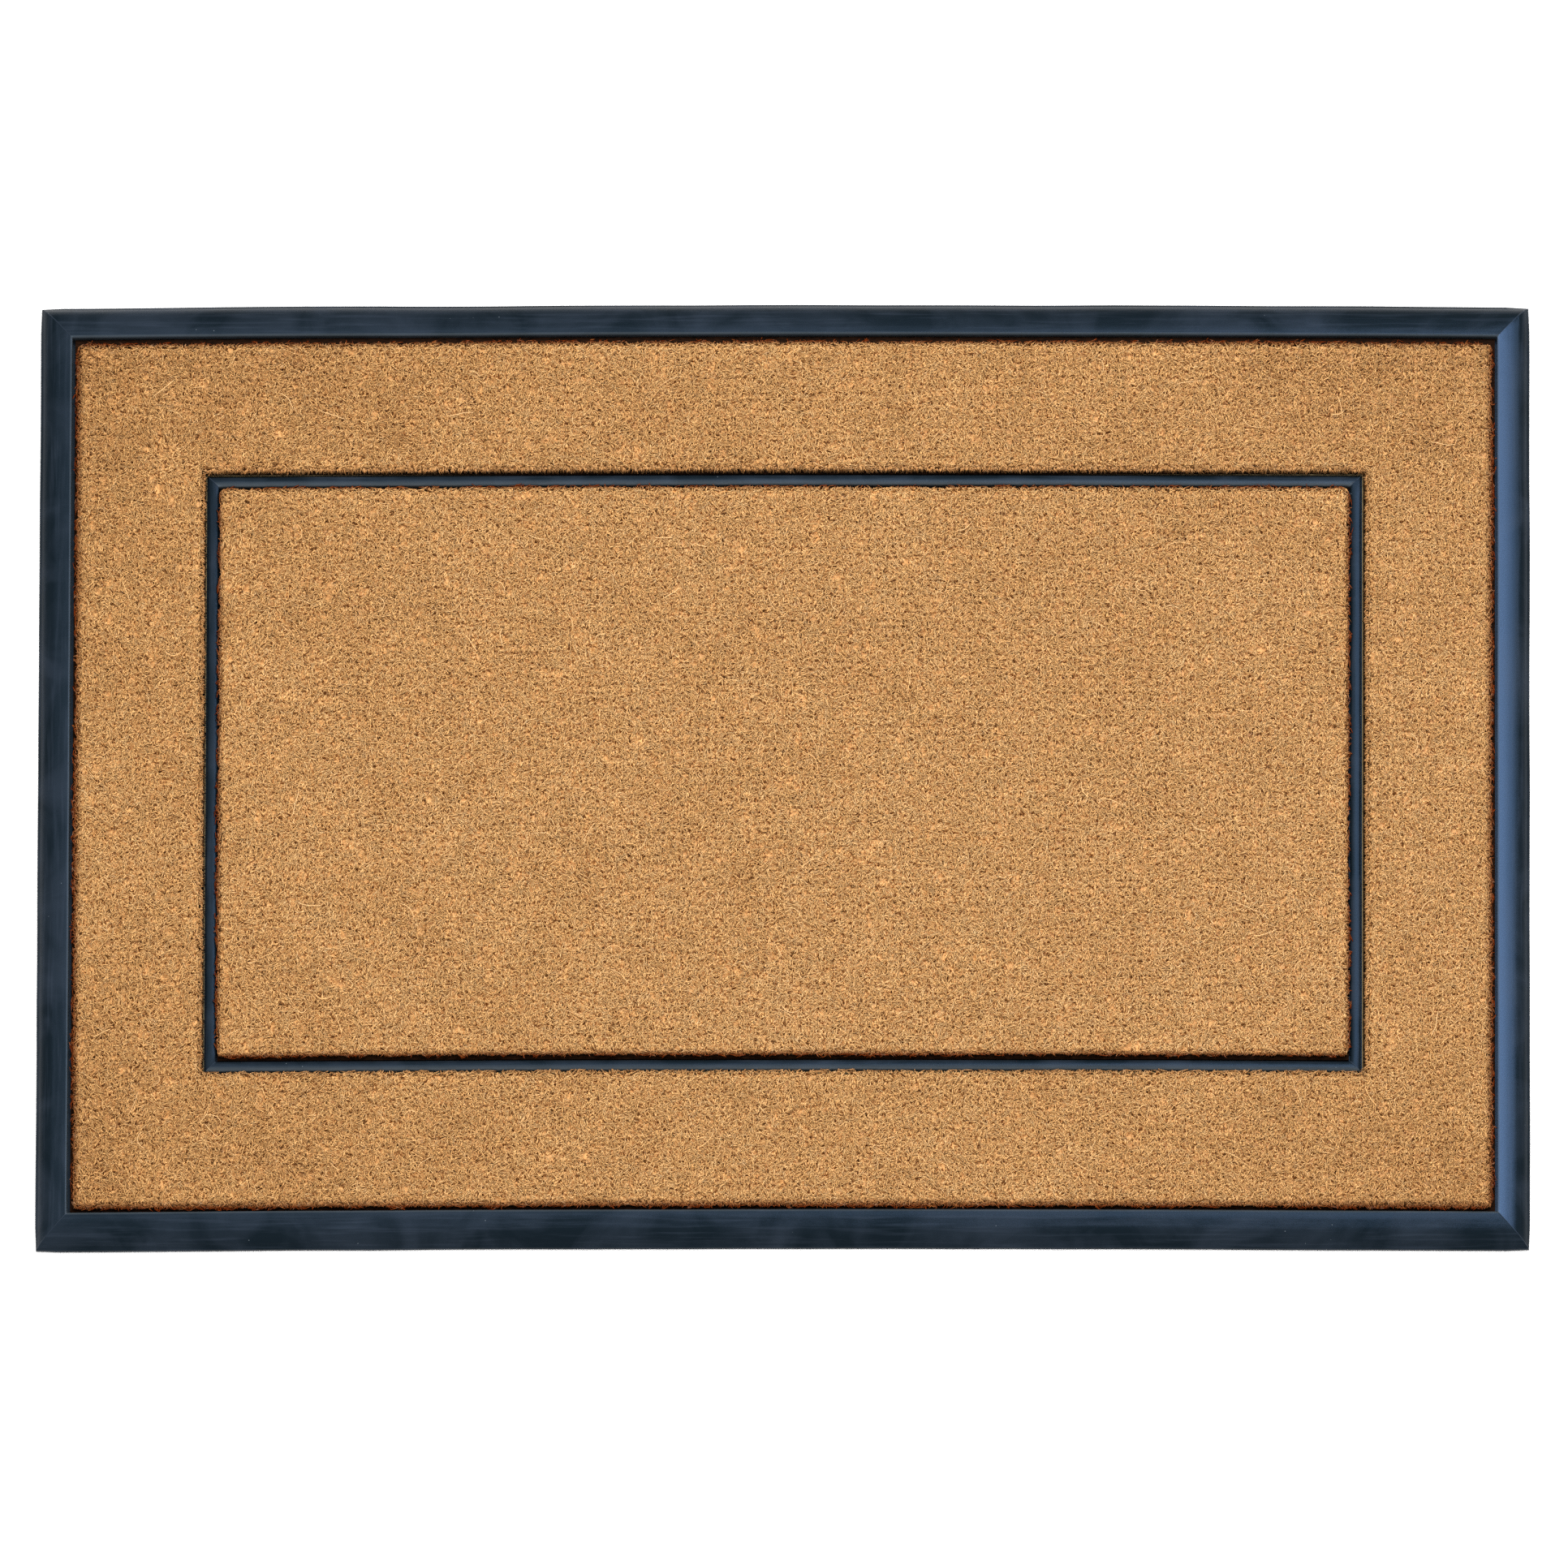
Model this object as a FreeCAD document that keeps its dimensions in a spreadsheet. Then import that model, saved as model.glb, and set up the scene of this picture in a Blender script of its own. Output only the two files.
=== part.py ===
"""Door mat: a moulded rubber tray with two coir pile inlays glued into its recesses.

The tray is one rubber moulding: a mitred border, a thin web, a raised rib that splits the
recess into an outer ring and a centre field, and small feet under the web. Each inlay is a
woven coir cloth with a latex back coat, stuck down, with cut pile standing on it.

Millimetres. +X runs along the mat's long side, +Y towards its far long side and +Z up.
The origin is on the ground at the middle of the mat.
"""
import FreeCAD, Part
import os

import Sketcher

V = FreeCAD.Vector

# Driving sizes in millimetres, and counts. Each one becomes a cell with the same alias.
SIZES = {
    "mat_width": 914,
    "mat_depth": 610,
    "border_width": 22.5,
    "lip_height": 2.2,
    "shoulder_run": 1.4,
    "shoulder_height": 3.6,
    "shoulder_radius": 2.4,
    "slope_run": 12,
    "slope_height": 10.2,
    "slope_radius": 14,
    "crown_run": 20.9,
    "crest_height": 11,
    "crest_radius": 1.6,
    "web_underside": 1.2,
    "web_top": 3.2,
    "rib_outer_width": 707,
    "rib_outer_depth": 384,
    "rib_width": 6.5,
    "rib_height": 10,
    "rib_round": 1.5,
    "foot_radius": 5,
    "foot_pitch": 40,
    "feet_along": 21,
    "feet_across": 13,
    "inlay_gap": 0.8,
    "adhesive_thickness": 0.4,
    "backing_thickness": 0.8,
    "weft_diameter": 1.2,
    "warp_diameter": 1.0,
    "yarn_pitch": 10.4,
    "ring_long_yarns_across": 8,
    "ring_short_yarns_across": 37,
    "ring_long_yarns_along": 7,
    "ring_short_yarns_along": 68,
    "centre_yarns_across": 35,
    "centre_yarns_along": 66,
    "pile_gap": 2.3,
    "pile_top": 14,
}

# Sizes that follow from the driving ones, as formulas of the sheet.
DERIVED = {
    "half_depth": "=mat_depth / 2",
    "recess_width": "=mat_width - 2 * border_width",
    "recess_depth": "=mat_depth - 2 * border_width",
    "rib_half_width": "=rib_outer_width / 2",
    "rib_half_depth": "=rib_outer_depth / 2",
    "centre_width": "=rib_outer_width - 2 * rib_width",
    "centre_depth": "=rib_outer_depth - 2 * rib_width",
    "feet_span_x": "=foot_pitch * (feet_along - 1)",
    "feet_span_y": "=foot_pitch * (feet_across - 1)",
    "backing_bottom": "=web_top + adhesive_thickness",
    "weft_bottom": "=backing_bottom + backing_thickness",
    "warp_bottom": "=weft_bottom + weft_diameter",
    "pile_bottom": "=warp_bottom + warp_diameter",
    "ring_cloth_width": "=recess_width - 2 * inlay_gap",
    "ring_cloth_depth": "=recess_depth - 2 * inlay_gap",
    "ring_hole_width": "=rib_outer_width + 2 * inlay_gap",
    "ring_hole_depth": "=rib_outer_depth + 2 * inlay_gap",
    "ring_band_x": "=(ring_cloth_width - ring_hole_width) / 2",
    "ring_band_y": "=(ring_cloth_depth - ring_hole_depth) / 2",
    "centre_cloth_width": "=centre_width - 2 * inlay_gap",
    "centre_cloth_depth": "=centre_depth - 2 * inlay_gap",
}


def make_sheet(doc):
    """Fill the spreadsheet with the driving sizes and the ones worked out from them."""
    sheet = doc.addObject("Spreadsheet::Sheet", "Sizes")
    for row, (alias, value) in enumerate({**SIZES, **DERIVED}.items(), start=1):
        cell = "A%d" % row
        sheet.set(cell, str(value))
        sheet.setAlias(cell, alias)
    doc.recompute()
    return sheet


def new_body(doc, label, lift="0"):
    """Start a body that stands at a height given by an expression."""
    body = doc.addObject("PartDesign::Body", label)
    body.Label = label
    body.AllowCompound = True
    body.setExpression("Placement.Base.z", lift)
    return body


def origin_part(body, role):
    """Return one of the body's own origin planes or axes."""
    return next(item for item in body.Origin.OriginFeatures if item.Role == role)


def new_sketch(body, name, plane="XY_Plane", offset=None):
    """Add a sketch on an origin plane; offset is an expression for its distance from it."""
    sketch = body.newObject("Sketcher::SketchObject", name)
    sketch.AttachmentSupport = [(origin_part(body, plane), "")]
    sketch.MapMode = "FlatFace"
    if offset:
        sketch.setExpression("AttachmentOffset.Base.z", offset)
    return sketch


def hold(sketch, kind, text, *where):
    """Add a dimension to a sketch and bind it to an expression of the sheet."""
    value = sketch.evalExpression(text)
    index = sketch.addConstraint(Sketcher.Constraint(kind, *where, value))
    sketch.setExpression("Constraints[%d]" % index, text)


def hold_point(sketch, edge, end, place):
    """Dimension one end of an edge from the sketch's origin in both directions."""
    for kind, text in zip(("DistanceX", "DistanceY"), place):
        hold(sketch, kind, text, -1, 1, edge, end)


def arc_through(start, end, radius):
    """Return the shorter arc from start to end that bulges to the left of its chord."""
    chord = end - start
    middle = (start + end) / 2
    left = V(-chord.y, chord.x, 0).normalize()
    half = chord.Length / 2
    rise = radius - (radius ** 2 - half ** 2) ** 0.5
    return Part.Arc(start, middle + left * rise, end)


def draw_outline(sketch, places, radii=None):
    """Draw a closed outline. radii gives an arc's radius for the edge after a corner."""
    radii = radii or {}
    corners = [V(*(float(sketch.evalExpression(text)) for text in place), 0) for place in places]
    first = sketch.GeometryCount
    count = len(places)
    starts = []
    for number, start in enumerate(corners):
        end = corners[(number + 1) % count]
        if number in radii:
            radius = float(sketch.evalExpression(radii[number]))
            edge = sketch.addGeometry(arc_through(start, end, radius))
            starts.append(nearer_end(sketch, edge, start))
        else:
            edge = sketch.addGeometry(Part.LineSegment(start, end))
            starts.append(1)
    for number in range(count):
        following = (number + 1) % count
        finish = 3 - starts[number]
        ends = (first + number, finish, first + following, starts[following])
        sketch.addConstraint(Sketcher.Constraint("Coincident", *ends))
    for number, place in enumerate(places):
        hold_point(sketch, first + number, starts[number], place)
    for number, radius in radii.items():
        hold(sketch, "Radius", radius, first + number)


def nearer_end(sketch, edge, place):
    """Return 1 or 2, the end of an edge that lies at a place: an arc may run backwards."""
    distances = [(sketch.getPoint(edge, end) - place).Length for end in (1, 2)]
    return 1 + distances.index(min(distances))


def rectangle(width, depth):
    """Return the four corners of a rectangle about the origin, as expressions."""
    x = "(%s) / 2" % width
    y = "(%s) / 2" % depth
    return [("-" + x, "-" + y), (x, "-" + y), (x, y), ("-" + x, y)]


def slab(body, name, width, depth, thickness, hole=None, offset=None):
    """Pad a rectangle, with a rectangular hole through it if hole gives its two sizes."""
    sketch = new_sketch(body, name + "Outline", offset=offset)
    draw_outline(sketch, rectangle(width, depth))
    if hole:
        draw_outline(sketch, rectangle(*hole))
    pad = body.newObject("PartDesign::Pad", name)
    pad.Profile = sketch
    pad.setExpression("Length", thickness)
    return pad


def moulding(body, name, path_size, profile, radii):
    """Sweep a cross-section round a rectangle, with mitred corners."""
    path = new_sketch(body, name + "Path")
    draw_outline(path, rectangle(*path_size))
    section = new_sketch(body, name + "Section", "YZ_Plane")
    draw_outline(section, profile, radii)
    pipe = body.newObject("PartDesign::AdditivePipe", name)
    pipe.Profile = section
    pipe.Spine = (path, ["Edge1", "Edge2", "Edge3", "Edge4"])
    pipe.Transition = "Right corner"
    return pipe


def border_profile():
    """Cross-section of the border on its near side: lip, shoulder, slope, crown and crest."""
    def at(run, height):
        return ("-Sizes.half_depth + " + run, height)

    places = [
        at("0", "0"),
        at("0", "Sizes.lip_height"),
        at("Sizes.shoulder_run", "Sizes.shoulder_height"),
        at("Sizes.slope_run", "Sizes.slope_height"),
        at("Sizes.crown_run", "Sizes.crest_height"),
        at("Sizes.border_width", "Sizes.crest_height - Sizes.crest_radius"),
        at("Sizes.border_width", "0"),
    ]
    radii = {1: "Sizes.shoulder_radius", 2: "Sizes.slope_radius", 4: "Sizes.crest_radius"}
    return places, radii


def rib_profile():
    """Cross-section of the rib on its near side: two walls under a rounded top."""
    def at(run, height):
        return ("-Sizes.rib_half_depth + " + run, height)

    shoulder = "Sizes.rib_height - Sizes.rib_round"
    places = [
        at("0", "Sizes.web_underside"),
        at("0", shoulder),
        at("Sizes.rib_round", "Sizes.rib_height"),
        at("Sizes.rib_width - Sizes.rib_round", "Sizes.rib_height"),
        at("Sizes.rib_width", shoulder),
        at("Sizes.rib_width", "Sizes.web_underside"),
    ]
    return places, {1: "Sizes.rib_round", 3: "Sizes.rib_round"}


def pattern(body, name, axis, span, count):
    """Make one step of a pattern along an origin axis, from expressions for span and count."""
    step = body.newObject("PartDesign::LinearPattern", name)
    step.Direction = (origin_part(body, axis), [""])
    step.setExpression("Length", span)
    step.setExpression("Occurrences", count)
    return step


def mirror(body, name, plane):
    """Make one step of a pattern that mirrors in an origin plane."""
    step = body.newObject("PartDesign::Mirrored", name)
    step.MirrorPlane = (origin_part(body, plane), [""])
    return step


def repeat(body, name, original, steps):
    """Repeat a feature by the steps given and make the result the body's last feature."""
    grid = body.newObject("PartDesign::MultiTransform", name)
    grid.Originals = [original]
    grid.Transformations = steps
    body.Tip = grid
    return grid


def make_tray(doc):
    """Rubber tray: border, web, rib and feet moulded in one piece."""
    body = new_body(doc, "rubber_tray")
    moulding(body, "Border", ("Sizes.mat_width", "Sizes.mat_depth"), *border_profile())
    web_size = ("Sizes.recess_width", "Sizes.recess_depth")
    slab(body, "Web", *web_size, "Sizes.web_top - Sizes.web_underside", offset="Sizes.web_underside")
    moulding(body, "Rib", ("Sizes.rib_outer_width", "Sizes.rib_outer_depth"), *rib_profile())
    outline = new_sketch(body, "FootOutline")
    circle = outline.addGeometry(Part.Circle(V(0, 0, 0), V(0, 0, 1), SIZES["foot_radius"]))
    hold_point(outline, circle, 3, ("-Sizes.feet_span_x / 2", "-Sizes.feet_span_y / 2"))
    hold(outline, "Radius", "Sizes.foot_radius", circle)
    foot = body.newObject("PartDesign::Pad", "Foot")
    foot.Profile = outline
    foot.setExpression("Length", "Sizes.web_underside")
    along = pattern(body, "FeetAlong", "X_Axis", "Sizes.feet_span_x", "Sizes.feet_along")
    across = pattern(body, "FeetAcross", "Y_Axis", "Sizes.feet_span_y", "Sizes.feet_across")
    repeat(body, "Feet", foot, [along, across])
    return body


def make_flat_layers(doc, name, size, hole=None):
    """The adhesive film and the latex back coat of one inlay."""
    glue = new_body(doc, name + "adhesive", "Sizes.web_top")
    slab(glue, "Film", *size, "Sizes.adhesive_thickness", hole)
    backing = new_body(doc, name + "backing", "Sizes.backing_bottom")
    slab(backing, "Coat", *size, "Sizes.backing_thickness", hole)
    return [glue, backing]


def yarns(body, name, along_x, place, diameter, length, count, mirrors):
    """Lay a row of round yarns along X or Y, and mirror the row as mirrors says.

    place holds the expressions for the first yarn's distance from the middle, across the
    yarns, and for the middle of its length.
    """
    across, middle = place
    plane = "YZ_Plane" if along_x else "XZ_Plane"
    offset = middle if along_x else "-(%s)" % middle
    section = new_sketch(body, name + "Section", plane, offset)
    circle = section.addGeometry(Part.Circle(V(0, 0, 0), V(0, 0, 1), 1))
    hold_point(section, circle, 3, (across, diameter + " / 2"))
    hold(section, "Radius", diameter + " / 2", circle)
    yarn = body.newObject("PartDesign::Pad", name + "Yarn")
    yarn.Profile = section
    yarn.SideType = "Symmetric"
    yarn.setExpression("Length", length)
    axis = "Y_Axis" if along_x else "X_Axis"
    span = "Sizes.yarn_pitch * (%s - 1)" % count
    row = pattern(body, name + "Row", axis, span, count)
    steps = [mirror(body, name + "Mirror" + plane[:2], plane) for plane in mirrors]
    return repeat(body, name, yarn, [row] + steps)


def ring_yarns(doc, label, along_x, lift, diameter):
    """Yarns of the ring cloth: whole ones beside the hole and two short ones across it."""
    body = new_body(doc, label, lift)
    if along_x:
        names = ("ring_cloth_depth", "ring_hole_depth", "ring_cloth_width", "ring_hole_width")
        counts = ("Sizes.ring_long_yarns_across", "Sizes.ring_short_yarns_across")
        band = "Sizes.ring_band_x"
        planes = ("XZ_Plane", "YZ_Plane")
    else:
        names = ("ring_cloth_width", "ring_hole_width", "ring_cloth_depth", "ring_hole_depth")
        counts = ("Sizes.ring_long_yarns_along", "Sizes.ring_short_yarns_along")
        band = "Sizes.ring_band_y"
        planes = ("YZ_Plane", "XZ_Plane")
    cloth_across, hole_across, cloth_length, hole_length = ("Sizes." + name for name in names)
    long_start = "(%s + %s) / 4 - Sizes.yarn_pitch * (%s - 1) / 2" % (cloth_across, hole_across, counts[0])
    yarns(body, "Long", along_x, (long_start, "0"), diameter, cloth_length, counts[0], planes[:1])
    short_start = "-Sizes.yarn_pitch * (%s - 1) / 2" % counts[1]
    short_middle = "(%s + %s) / 4" % (cloth_length, hole_length)
    yarns(body, "Short", along_x, (short_start, short_middle), diameter, band, counts[1], planes[1:])
    return body


def centre_yarns(doc, label, along_x, lift, diameter):
    """Yarns of the centre cloth, all of one length."""
    body = new_body(doc, label, lift)
    count = "Sizes.centre_yarns_across" if along_x else "Sizes.centre_yarns_along"
    length = "Sizes.centre_cloth_width" if along_x else "Sizes.centre_cloth_depth"
    start = "-Sizes.yarn_pitch * (%s - 1) / 2" % count
    yarns(body, "Whole", along_x, (start, "0"), diameter, length, count, ())
    return body


def make_pile(doc, label, places):
    """One block of cut pile with a plan outline given as expressions."""
    body = new_body(doc, label, "Sizes.pile_bottom")
    sketch = new_sketch(body, "PileOutline")
    draw_outline(sketch, places)
    pad = body.newObject("PartDesign::Pad", "Pile")
    pad.Profile = sketch
    pad.setExpression("Length", "Sizes.pile_top - Sizes.pile_bottom")
    return body


def make_ring_pile(doc):
    """Four mitred blocks of pile, one on each side of the ring."""
    outer_x = "(Sizes.recess_width / 2 - Sizes.pile_gap)"
    outer_y = "(Sizes.recess_depth / 2 - Sizes.pile_gap)"
    inner_x = "(Sizes.rib_half_width + Sizes.pile_gap)"
    inner_y = "(Sizes.rib_half_depth + Sizes.pile_gap)"
    bodies = []
    for name, sign in (("north", ""), ("south", "-")):
        places = [
            ("-" + inner_x, sign + inner_y),
            (inner_x, sign + inner_y),
            (outer_x, sign + outer_y),
            ("-" + outer_x, sign + outer_y),
        ]
        bodies.append(make_pile(doc, "border_pile_" + name, places))
    for name, sign in (("east", ""), ("west", "-")):
        places = [
            (sign + inner_x, "-" + inner_y),
            (sign + outer_x, "-" + outer_y),
            (sign + outer_x, outer_y),
            (sign + inner_x, inner_y),
        ]
        bodies.append(make_pile(doc, "border_pile_" + name, places))
    return bodies


def make_border_inlay(doc):
    """The ring-shaped inlay between the border and the rib."""
    size = ("Sizes.ring_cloth_width", "Sizes.ring_cloth_depth")
    hole = ("Sizes.ring_hole_width", "Sizes.ring_hole_depth")
    layers = make_flat_layers(doc, "border_inlay_", size, hole)
    weft = ring_yarns(doc, "border_inlay_weft", True, "Sizes.weft_bottom", "Sizes.weft_diameter")
    warp = ring_yarns(doc, "border_inlay_warp", False, "Sizes.warp_bottom", "Sizes.warp_diameter")
    return layers + [weft, warp] + make_ring_pile(doc)


def make_centre_inlay(doc):
    """The rectangular inlay inside the rib."""
    size = ("Sizes.centre_cloth_width", "Sizes.centre_cloth_depth")
    layers = make_flat_layers(doc, "centre_inlay_", size)
    weft = centre_yarns(doc, "centre_inlay_weft", True, "Sizes.weft_bottom", "Sizes.weft_diameter")
    warp = centre_yarns(doc, "centre_inlay_warp", False, "Sizes.warp_bottom", "Sizes.warp_diameter")
    pile_size = [side + " - 2 * Sizes.pile_gap" for side in ("Sizes.centre_width", "Sizes.centre_depth")]
    pile = make_pile(doc, "centre_pile", rectangle(*pile_size))
    return layers + [weft, warp, pile]


def check(doc, bodies):
    """Stop if any object failed to compute or any sub-part has no sound shape."""
    for item in doc.Objects:
        if "Invalid" in item.State or "Error" in item.State:
            raise RuntimeError("%s did not compute: %s" % (item.Name, item.State))
    for body in bodies:
        if body.Shape.isNull() or not body.Shape.isValid():
            raise RuntimeError("%s has no sound shape" % body.Label)


def main():
    """Build every sub-part, check it and write it to its own STEP file."""
    doc = FreeCAD.newDocument("DoorMat")
    make_sheet(doc)
    bodies = [make_tray(doc)] + make_border_inlay(doc) + make_centre_inlay(doc)
    doc.recompute()
    check(doc, bodies)
    os.makedirs("parts", exist_ok=True)
    for body in bodies:
        body.Shape.exportStep("parts/%s.step" % body.Label)
        print("%-24s solids %3d  volume %10.1f" % (body.Label, len(body.Shape.Solids), body.Shape.Volume))


main()
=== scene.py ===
"""Door mat: a moulded rubber tray with two brushed coir inlays, dressed round the CAD frame.

Every length is in metres and every place is in the CAD model's own frame: +X along the mat's
long side, +Y towards its far long side and +Z up, with the origin on the ground at its middle.
"""

import dataclasses
import logging
import math
from dataclasses import dataclass
from enum import Enum
from typing import Callable, Sequence

import bmesh
import bpy
import numpy as np
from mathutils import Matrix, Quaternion, Vector, noise


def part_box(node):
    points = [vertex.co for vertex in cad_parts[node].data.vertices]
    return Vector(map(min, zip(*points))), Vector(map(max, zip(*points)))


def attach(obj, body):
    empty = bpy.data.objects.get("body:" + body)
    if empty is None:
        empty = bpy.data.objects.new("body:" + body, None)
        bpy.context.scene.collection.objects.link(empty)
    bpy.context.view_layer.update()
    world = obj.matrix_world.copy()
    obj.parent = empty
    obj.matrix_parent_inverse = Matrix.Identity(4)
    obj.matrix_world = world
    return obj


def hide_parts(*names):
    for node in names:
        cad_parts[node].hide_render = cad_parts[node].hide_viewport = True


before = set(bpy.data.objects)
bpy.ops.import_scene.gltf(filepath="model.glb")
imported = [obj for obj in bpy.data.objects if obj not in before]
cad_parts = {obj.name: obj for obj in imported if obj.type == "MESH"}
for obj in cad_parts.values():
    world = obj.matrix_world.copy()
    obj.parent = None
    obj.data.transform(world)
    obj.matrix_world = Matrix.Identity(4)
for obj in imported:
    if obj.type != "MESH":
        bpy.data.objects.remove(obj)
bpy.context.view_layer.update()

LOG = logging.getLogger("door_mat")
MM = 0.001
ROOT = "root"
GOLDEN_ANGLE = 2.39996
SEED = 41


class Side(Enum):
    """The four sides of the ring inlay."""

    NORTH = "north"
    SOUTH = "south"
    EAST = "east"
    WEST = "west"


# ---------------------------------------------------------------------------------------
# Finishes
# ---------------------------------------------------------------------------------------


class NodeBoard:
    """A material's node tree with short calls for the nodes that the finishes share."""

    def __init__(self, name: str) -> None:
        """Start a material with only a Principled shader and an output.

        Args:
            name: The material's name.
        """
        self.material = bpy.data.materials.new(name)
        self.material.use_nodes = True
        self.tree = self.material.node_tree
        self.tree.nodes.clear()
        self.shader = self.tree.nodes.new("ShaderNodeBsdfPrincipled")
        output = self.tree.nodes.new("ShaderNodeOutputMaterial")
        self.link(self.shader.outputs["BSDF"], output.inputs["Surface"])
        self.place = self.tree.nodes.new("ShaderNodeTexCoord").outputs["Object"]

    def link(self, source: bpy.types.NodeSocket, target: bpy.types.NodeSocket) -> None:
        """Join two sockets."""
        self.tree.links.new(source, target)

    def set(self, **values: object) -> None:
        """Set uniform values on the shader's own sockets, with _ for a space in a name."""
        for name, value in values.items():
            self.shader.inputs[name.replace("_", " ")].default_value = value

    def stretched(self, scale: Sequence[float]) -> bpy.types.NodeSocket:
        """Return object coordinates multiplied by a scale for each axis.

        Args:
            scale: The factor for each axis.

        Returns:
            The socket with the stretched coordinates.
        """
        mapping = self.tree.nodes.new("ShaderNodeMapping")
        mapping.inputs["Scale"].default_value = scale
        self.link(self.place, mapping.inputs["Vector"])
        return mapping.outputs["Vector"]

    def noise(self, size: float, detail: float = 3.0, vector: bpy.types.NodeSocket | None = None,
              distortion: float = 0.0) -> bpy.types.NodeSocket:
        """Return a noise value whose blotches are about the size given.

        Args:
            size: The blotch size in metres, or in the vector's own units.
            detail: Octaves of finer noise.
            vector: Coordinates to use instead of plain object coordinates.
            distortion: How far the noise is warped.

        Returns:
            The socket with the noise value, from 0 to 1.
        """
        node = self.tree.nodes.new("ShaderNodeTexNoise")
        node.inputs["Scale"].default_value = 1.0 / size
        node.inputs["Detail"].default_value = detail
        node.inputs["Distortion"].default_value = distortion
        self.link(vector or self.place, node.inputs["Vector"])
        return node.outputs["Fac"]

    def specks(self, spacing: float, radius: float,
               vector: bpy.types.NodeSocket | None = None) -> bpy.types.NodeSocket:
        """Return 1 inside small scattered specks and 0 outside them.

        Args:
            spacing: Mean distance between specks in metres.
            radius: A speck's radius as a share of the spacing.
            vector: Coordinates to use instead of plain object coordinates.

        Returns:
            The socket with the share of speck, from 0 to 1.
        """
        node = self.tree.nodes.new("ShaderNodeTexVoronoi")
        node.inputs["Scale"].default_value = 1.0 / spacing
        self.link(vector or self.place, node.inputs["Vector"])
        return self.remap(node.outputs["Distance"], radius, radius * 0.5)

    def remap(self, source: bpy.types.NodeSocket, low: float, high: float, out_low: float = 0.0,
              out_high: float = 1.0) -> bpy.types.NodeSocket:
        """Return a value stretched from low..high to out_low..out_high and clamped there.

        Args:
            source: The value to stretch.
            low: The value that becomes out_low.
            high: The value that becomes out_high.
            out_low: The result at the low end.
            out_high: The result at the high end.

        Returns:
            The socket with the stretched value.
        """
        node = self.tree.nodes.new("ShaderNodeMapRange")
        node.inputs["From Min"].default_value = low
        node.inputs["From Max"].default_value = high
        node.inputs["To Min"].default_value = out_low
        node.inputs["To Max"].default_value = out_high
        self.link(source, node.inputs["Value"])
        return node.outputs["Result"]

    def math(self, operation: str, first: bpy.types.NodeSocket,
             second: bpy.types.NodeSocket | float = 0.0) -> bpy.types.NodeSocket:
        """Return the result of one arithmetic step on a socket and a socket or number.

        Args:
            operation: The step's name.
            first: The first value.
            second: The second value, if any.

        Returns:
            The socket with the result.
        """
        node = self.tree.nodes.new("ShaderNodeMath")
        node.operation = operation
        self.link(first, node.inputs[0])
        if isinstance(second, (int, float)):
            node.inputs[1].default_value = second
        else:
            self.link(second, node.inputs[1])
        return node.outputs["Value"]

    def ramp(self, source: bpy.types.NodeSocket,
             stops: Sequence[tuple[float, tuple[float, float, float]]]) -> bpy.types.NodeSocket:
        """Return a colour that runs through the stops as the source goes from 0 to 1.

        Args:
            source: The value that picks the colour.
            stops: Each stop's place and colour.

        Returns:
            The socket with the colour.
        """
        node = self.tree.nodes.new("ShaderNodeValToRGB")
        elements = node.color_ramp.elements
        while len(elements) < len(stops):
            elements.new(1.0)
        for element, (position, colour) in zip(elements, stops):
            element.position = position
            element.color = (*colour, 1.0)
        self.link(source, node.inputs["Fac"])
        return node.outputs["Color"]

    def blend(self, share: bpy.types.NodeSocket, first: bpy.types.NodeSocket | tuple,
              second: bpy.types.NodeSocket | tuple, mode: str = "MIX") -> bpy.types.NodeSocket:
        """Return two colours mixed by a share, each a socket or three numbers.

        Args:
            share: How much of the second colour shows.
            first: The colour at a share of 0.
            second: The colour at a share of 1.
            mode: How the second one is laid on the first.

        Returns:
            The socket with the mixed colour.
        """
        node = self.tree.nodes.new("ShaderNodeMix")
        node.data_type = "RGBA"
        node.blend_type = mode
        self.link(share, node.inputs["Factor"])
        for name, colour in (("A", first), ("B", second)):
            socket = next(s for s in node.inputs if s.name == name and s.type == "RGBA")
            if isinstance(colour, tuple):
                socket.default_value = (*colour, 1.0)
            else:
                self.link(colour, socket)
        return next(s for s in node.outputs if s.type == "RGBA")

    def bump(self, height: bpy.types.NodeSocket, distance: float) -> None:
        """Raise the surface's shading by a height of 0 to 1 times a distance in metres.

        Args:
            height: The relief, from 0 to 1.
            distance: How high a relief of 1 stands.
        """
        node = self.tree.nodes.new("ShaderNodeBump")
        node.inputs["Distance"].default_value = distance
        self.link(height, node.inputs["Height"])
        self.link(node.outputs["Normal"], self.shader.inputs["Normal"])

    def streaks(self, name: str, size: float) -> bpy.types.NodeSocket:
        """Return noise along a number that each point carries, with streaks of about a size.

        Args:
            name: The number's name.
            size: The streaks' width in the number's units.

        Returns:
            The socket with the noise value.
        """
        node = self.tree.nodes.new("ShaderNodeTexNoise")
        node.noise_dimensions = "1D"
        node.inputs["Scale"].default_value = 1.0 / size
        node.inputs["Detail"].default_value = 2.0
        self.link(self.attribute(name), node.inputs["W"])
        return node.outputs["Fac"]

    def attribute(self, name: str) -> bpy.types.NodeSocket:
        """Return a number that each point of the piece carries.

        Args:
            name: The number's name.

        Returns:
            The socket with the number.
        """
        node = self.tree.nodes.new("ShaderNodeAttribute")
        node.attribute_name = name
        return node.outputs["Fac"]

    def height(self) -> bpy.types.NodeSocket:
        """Return the height above the ground in metres.

        Returns:
            The socket with the height.
        """
        node = self.tree.nodes.new("ShaderNodeSeparateXYZ")
        self.link(self.place, node.inputs["Vector"])
        return node.outputs["Z"]


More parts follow.
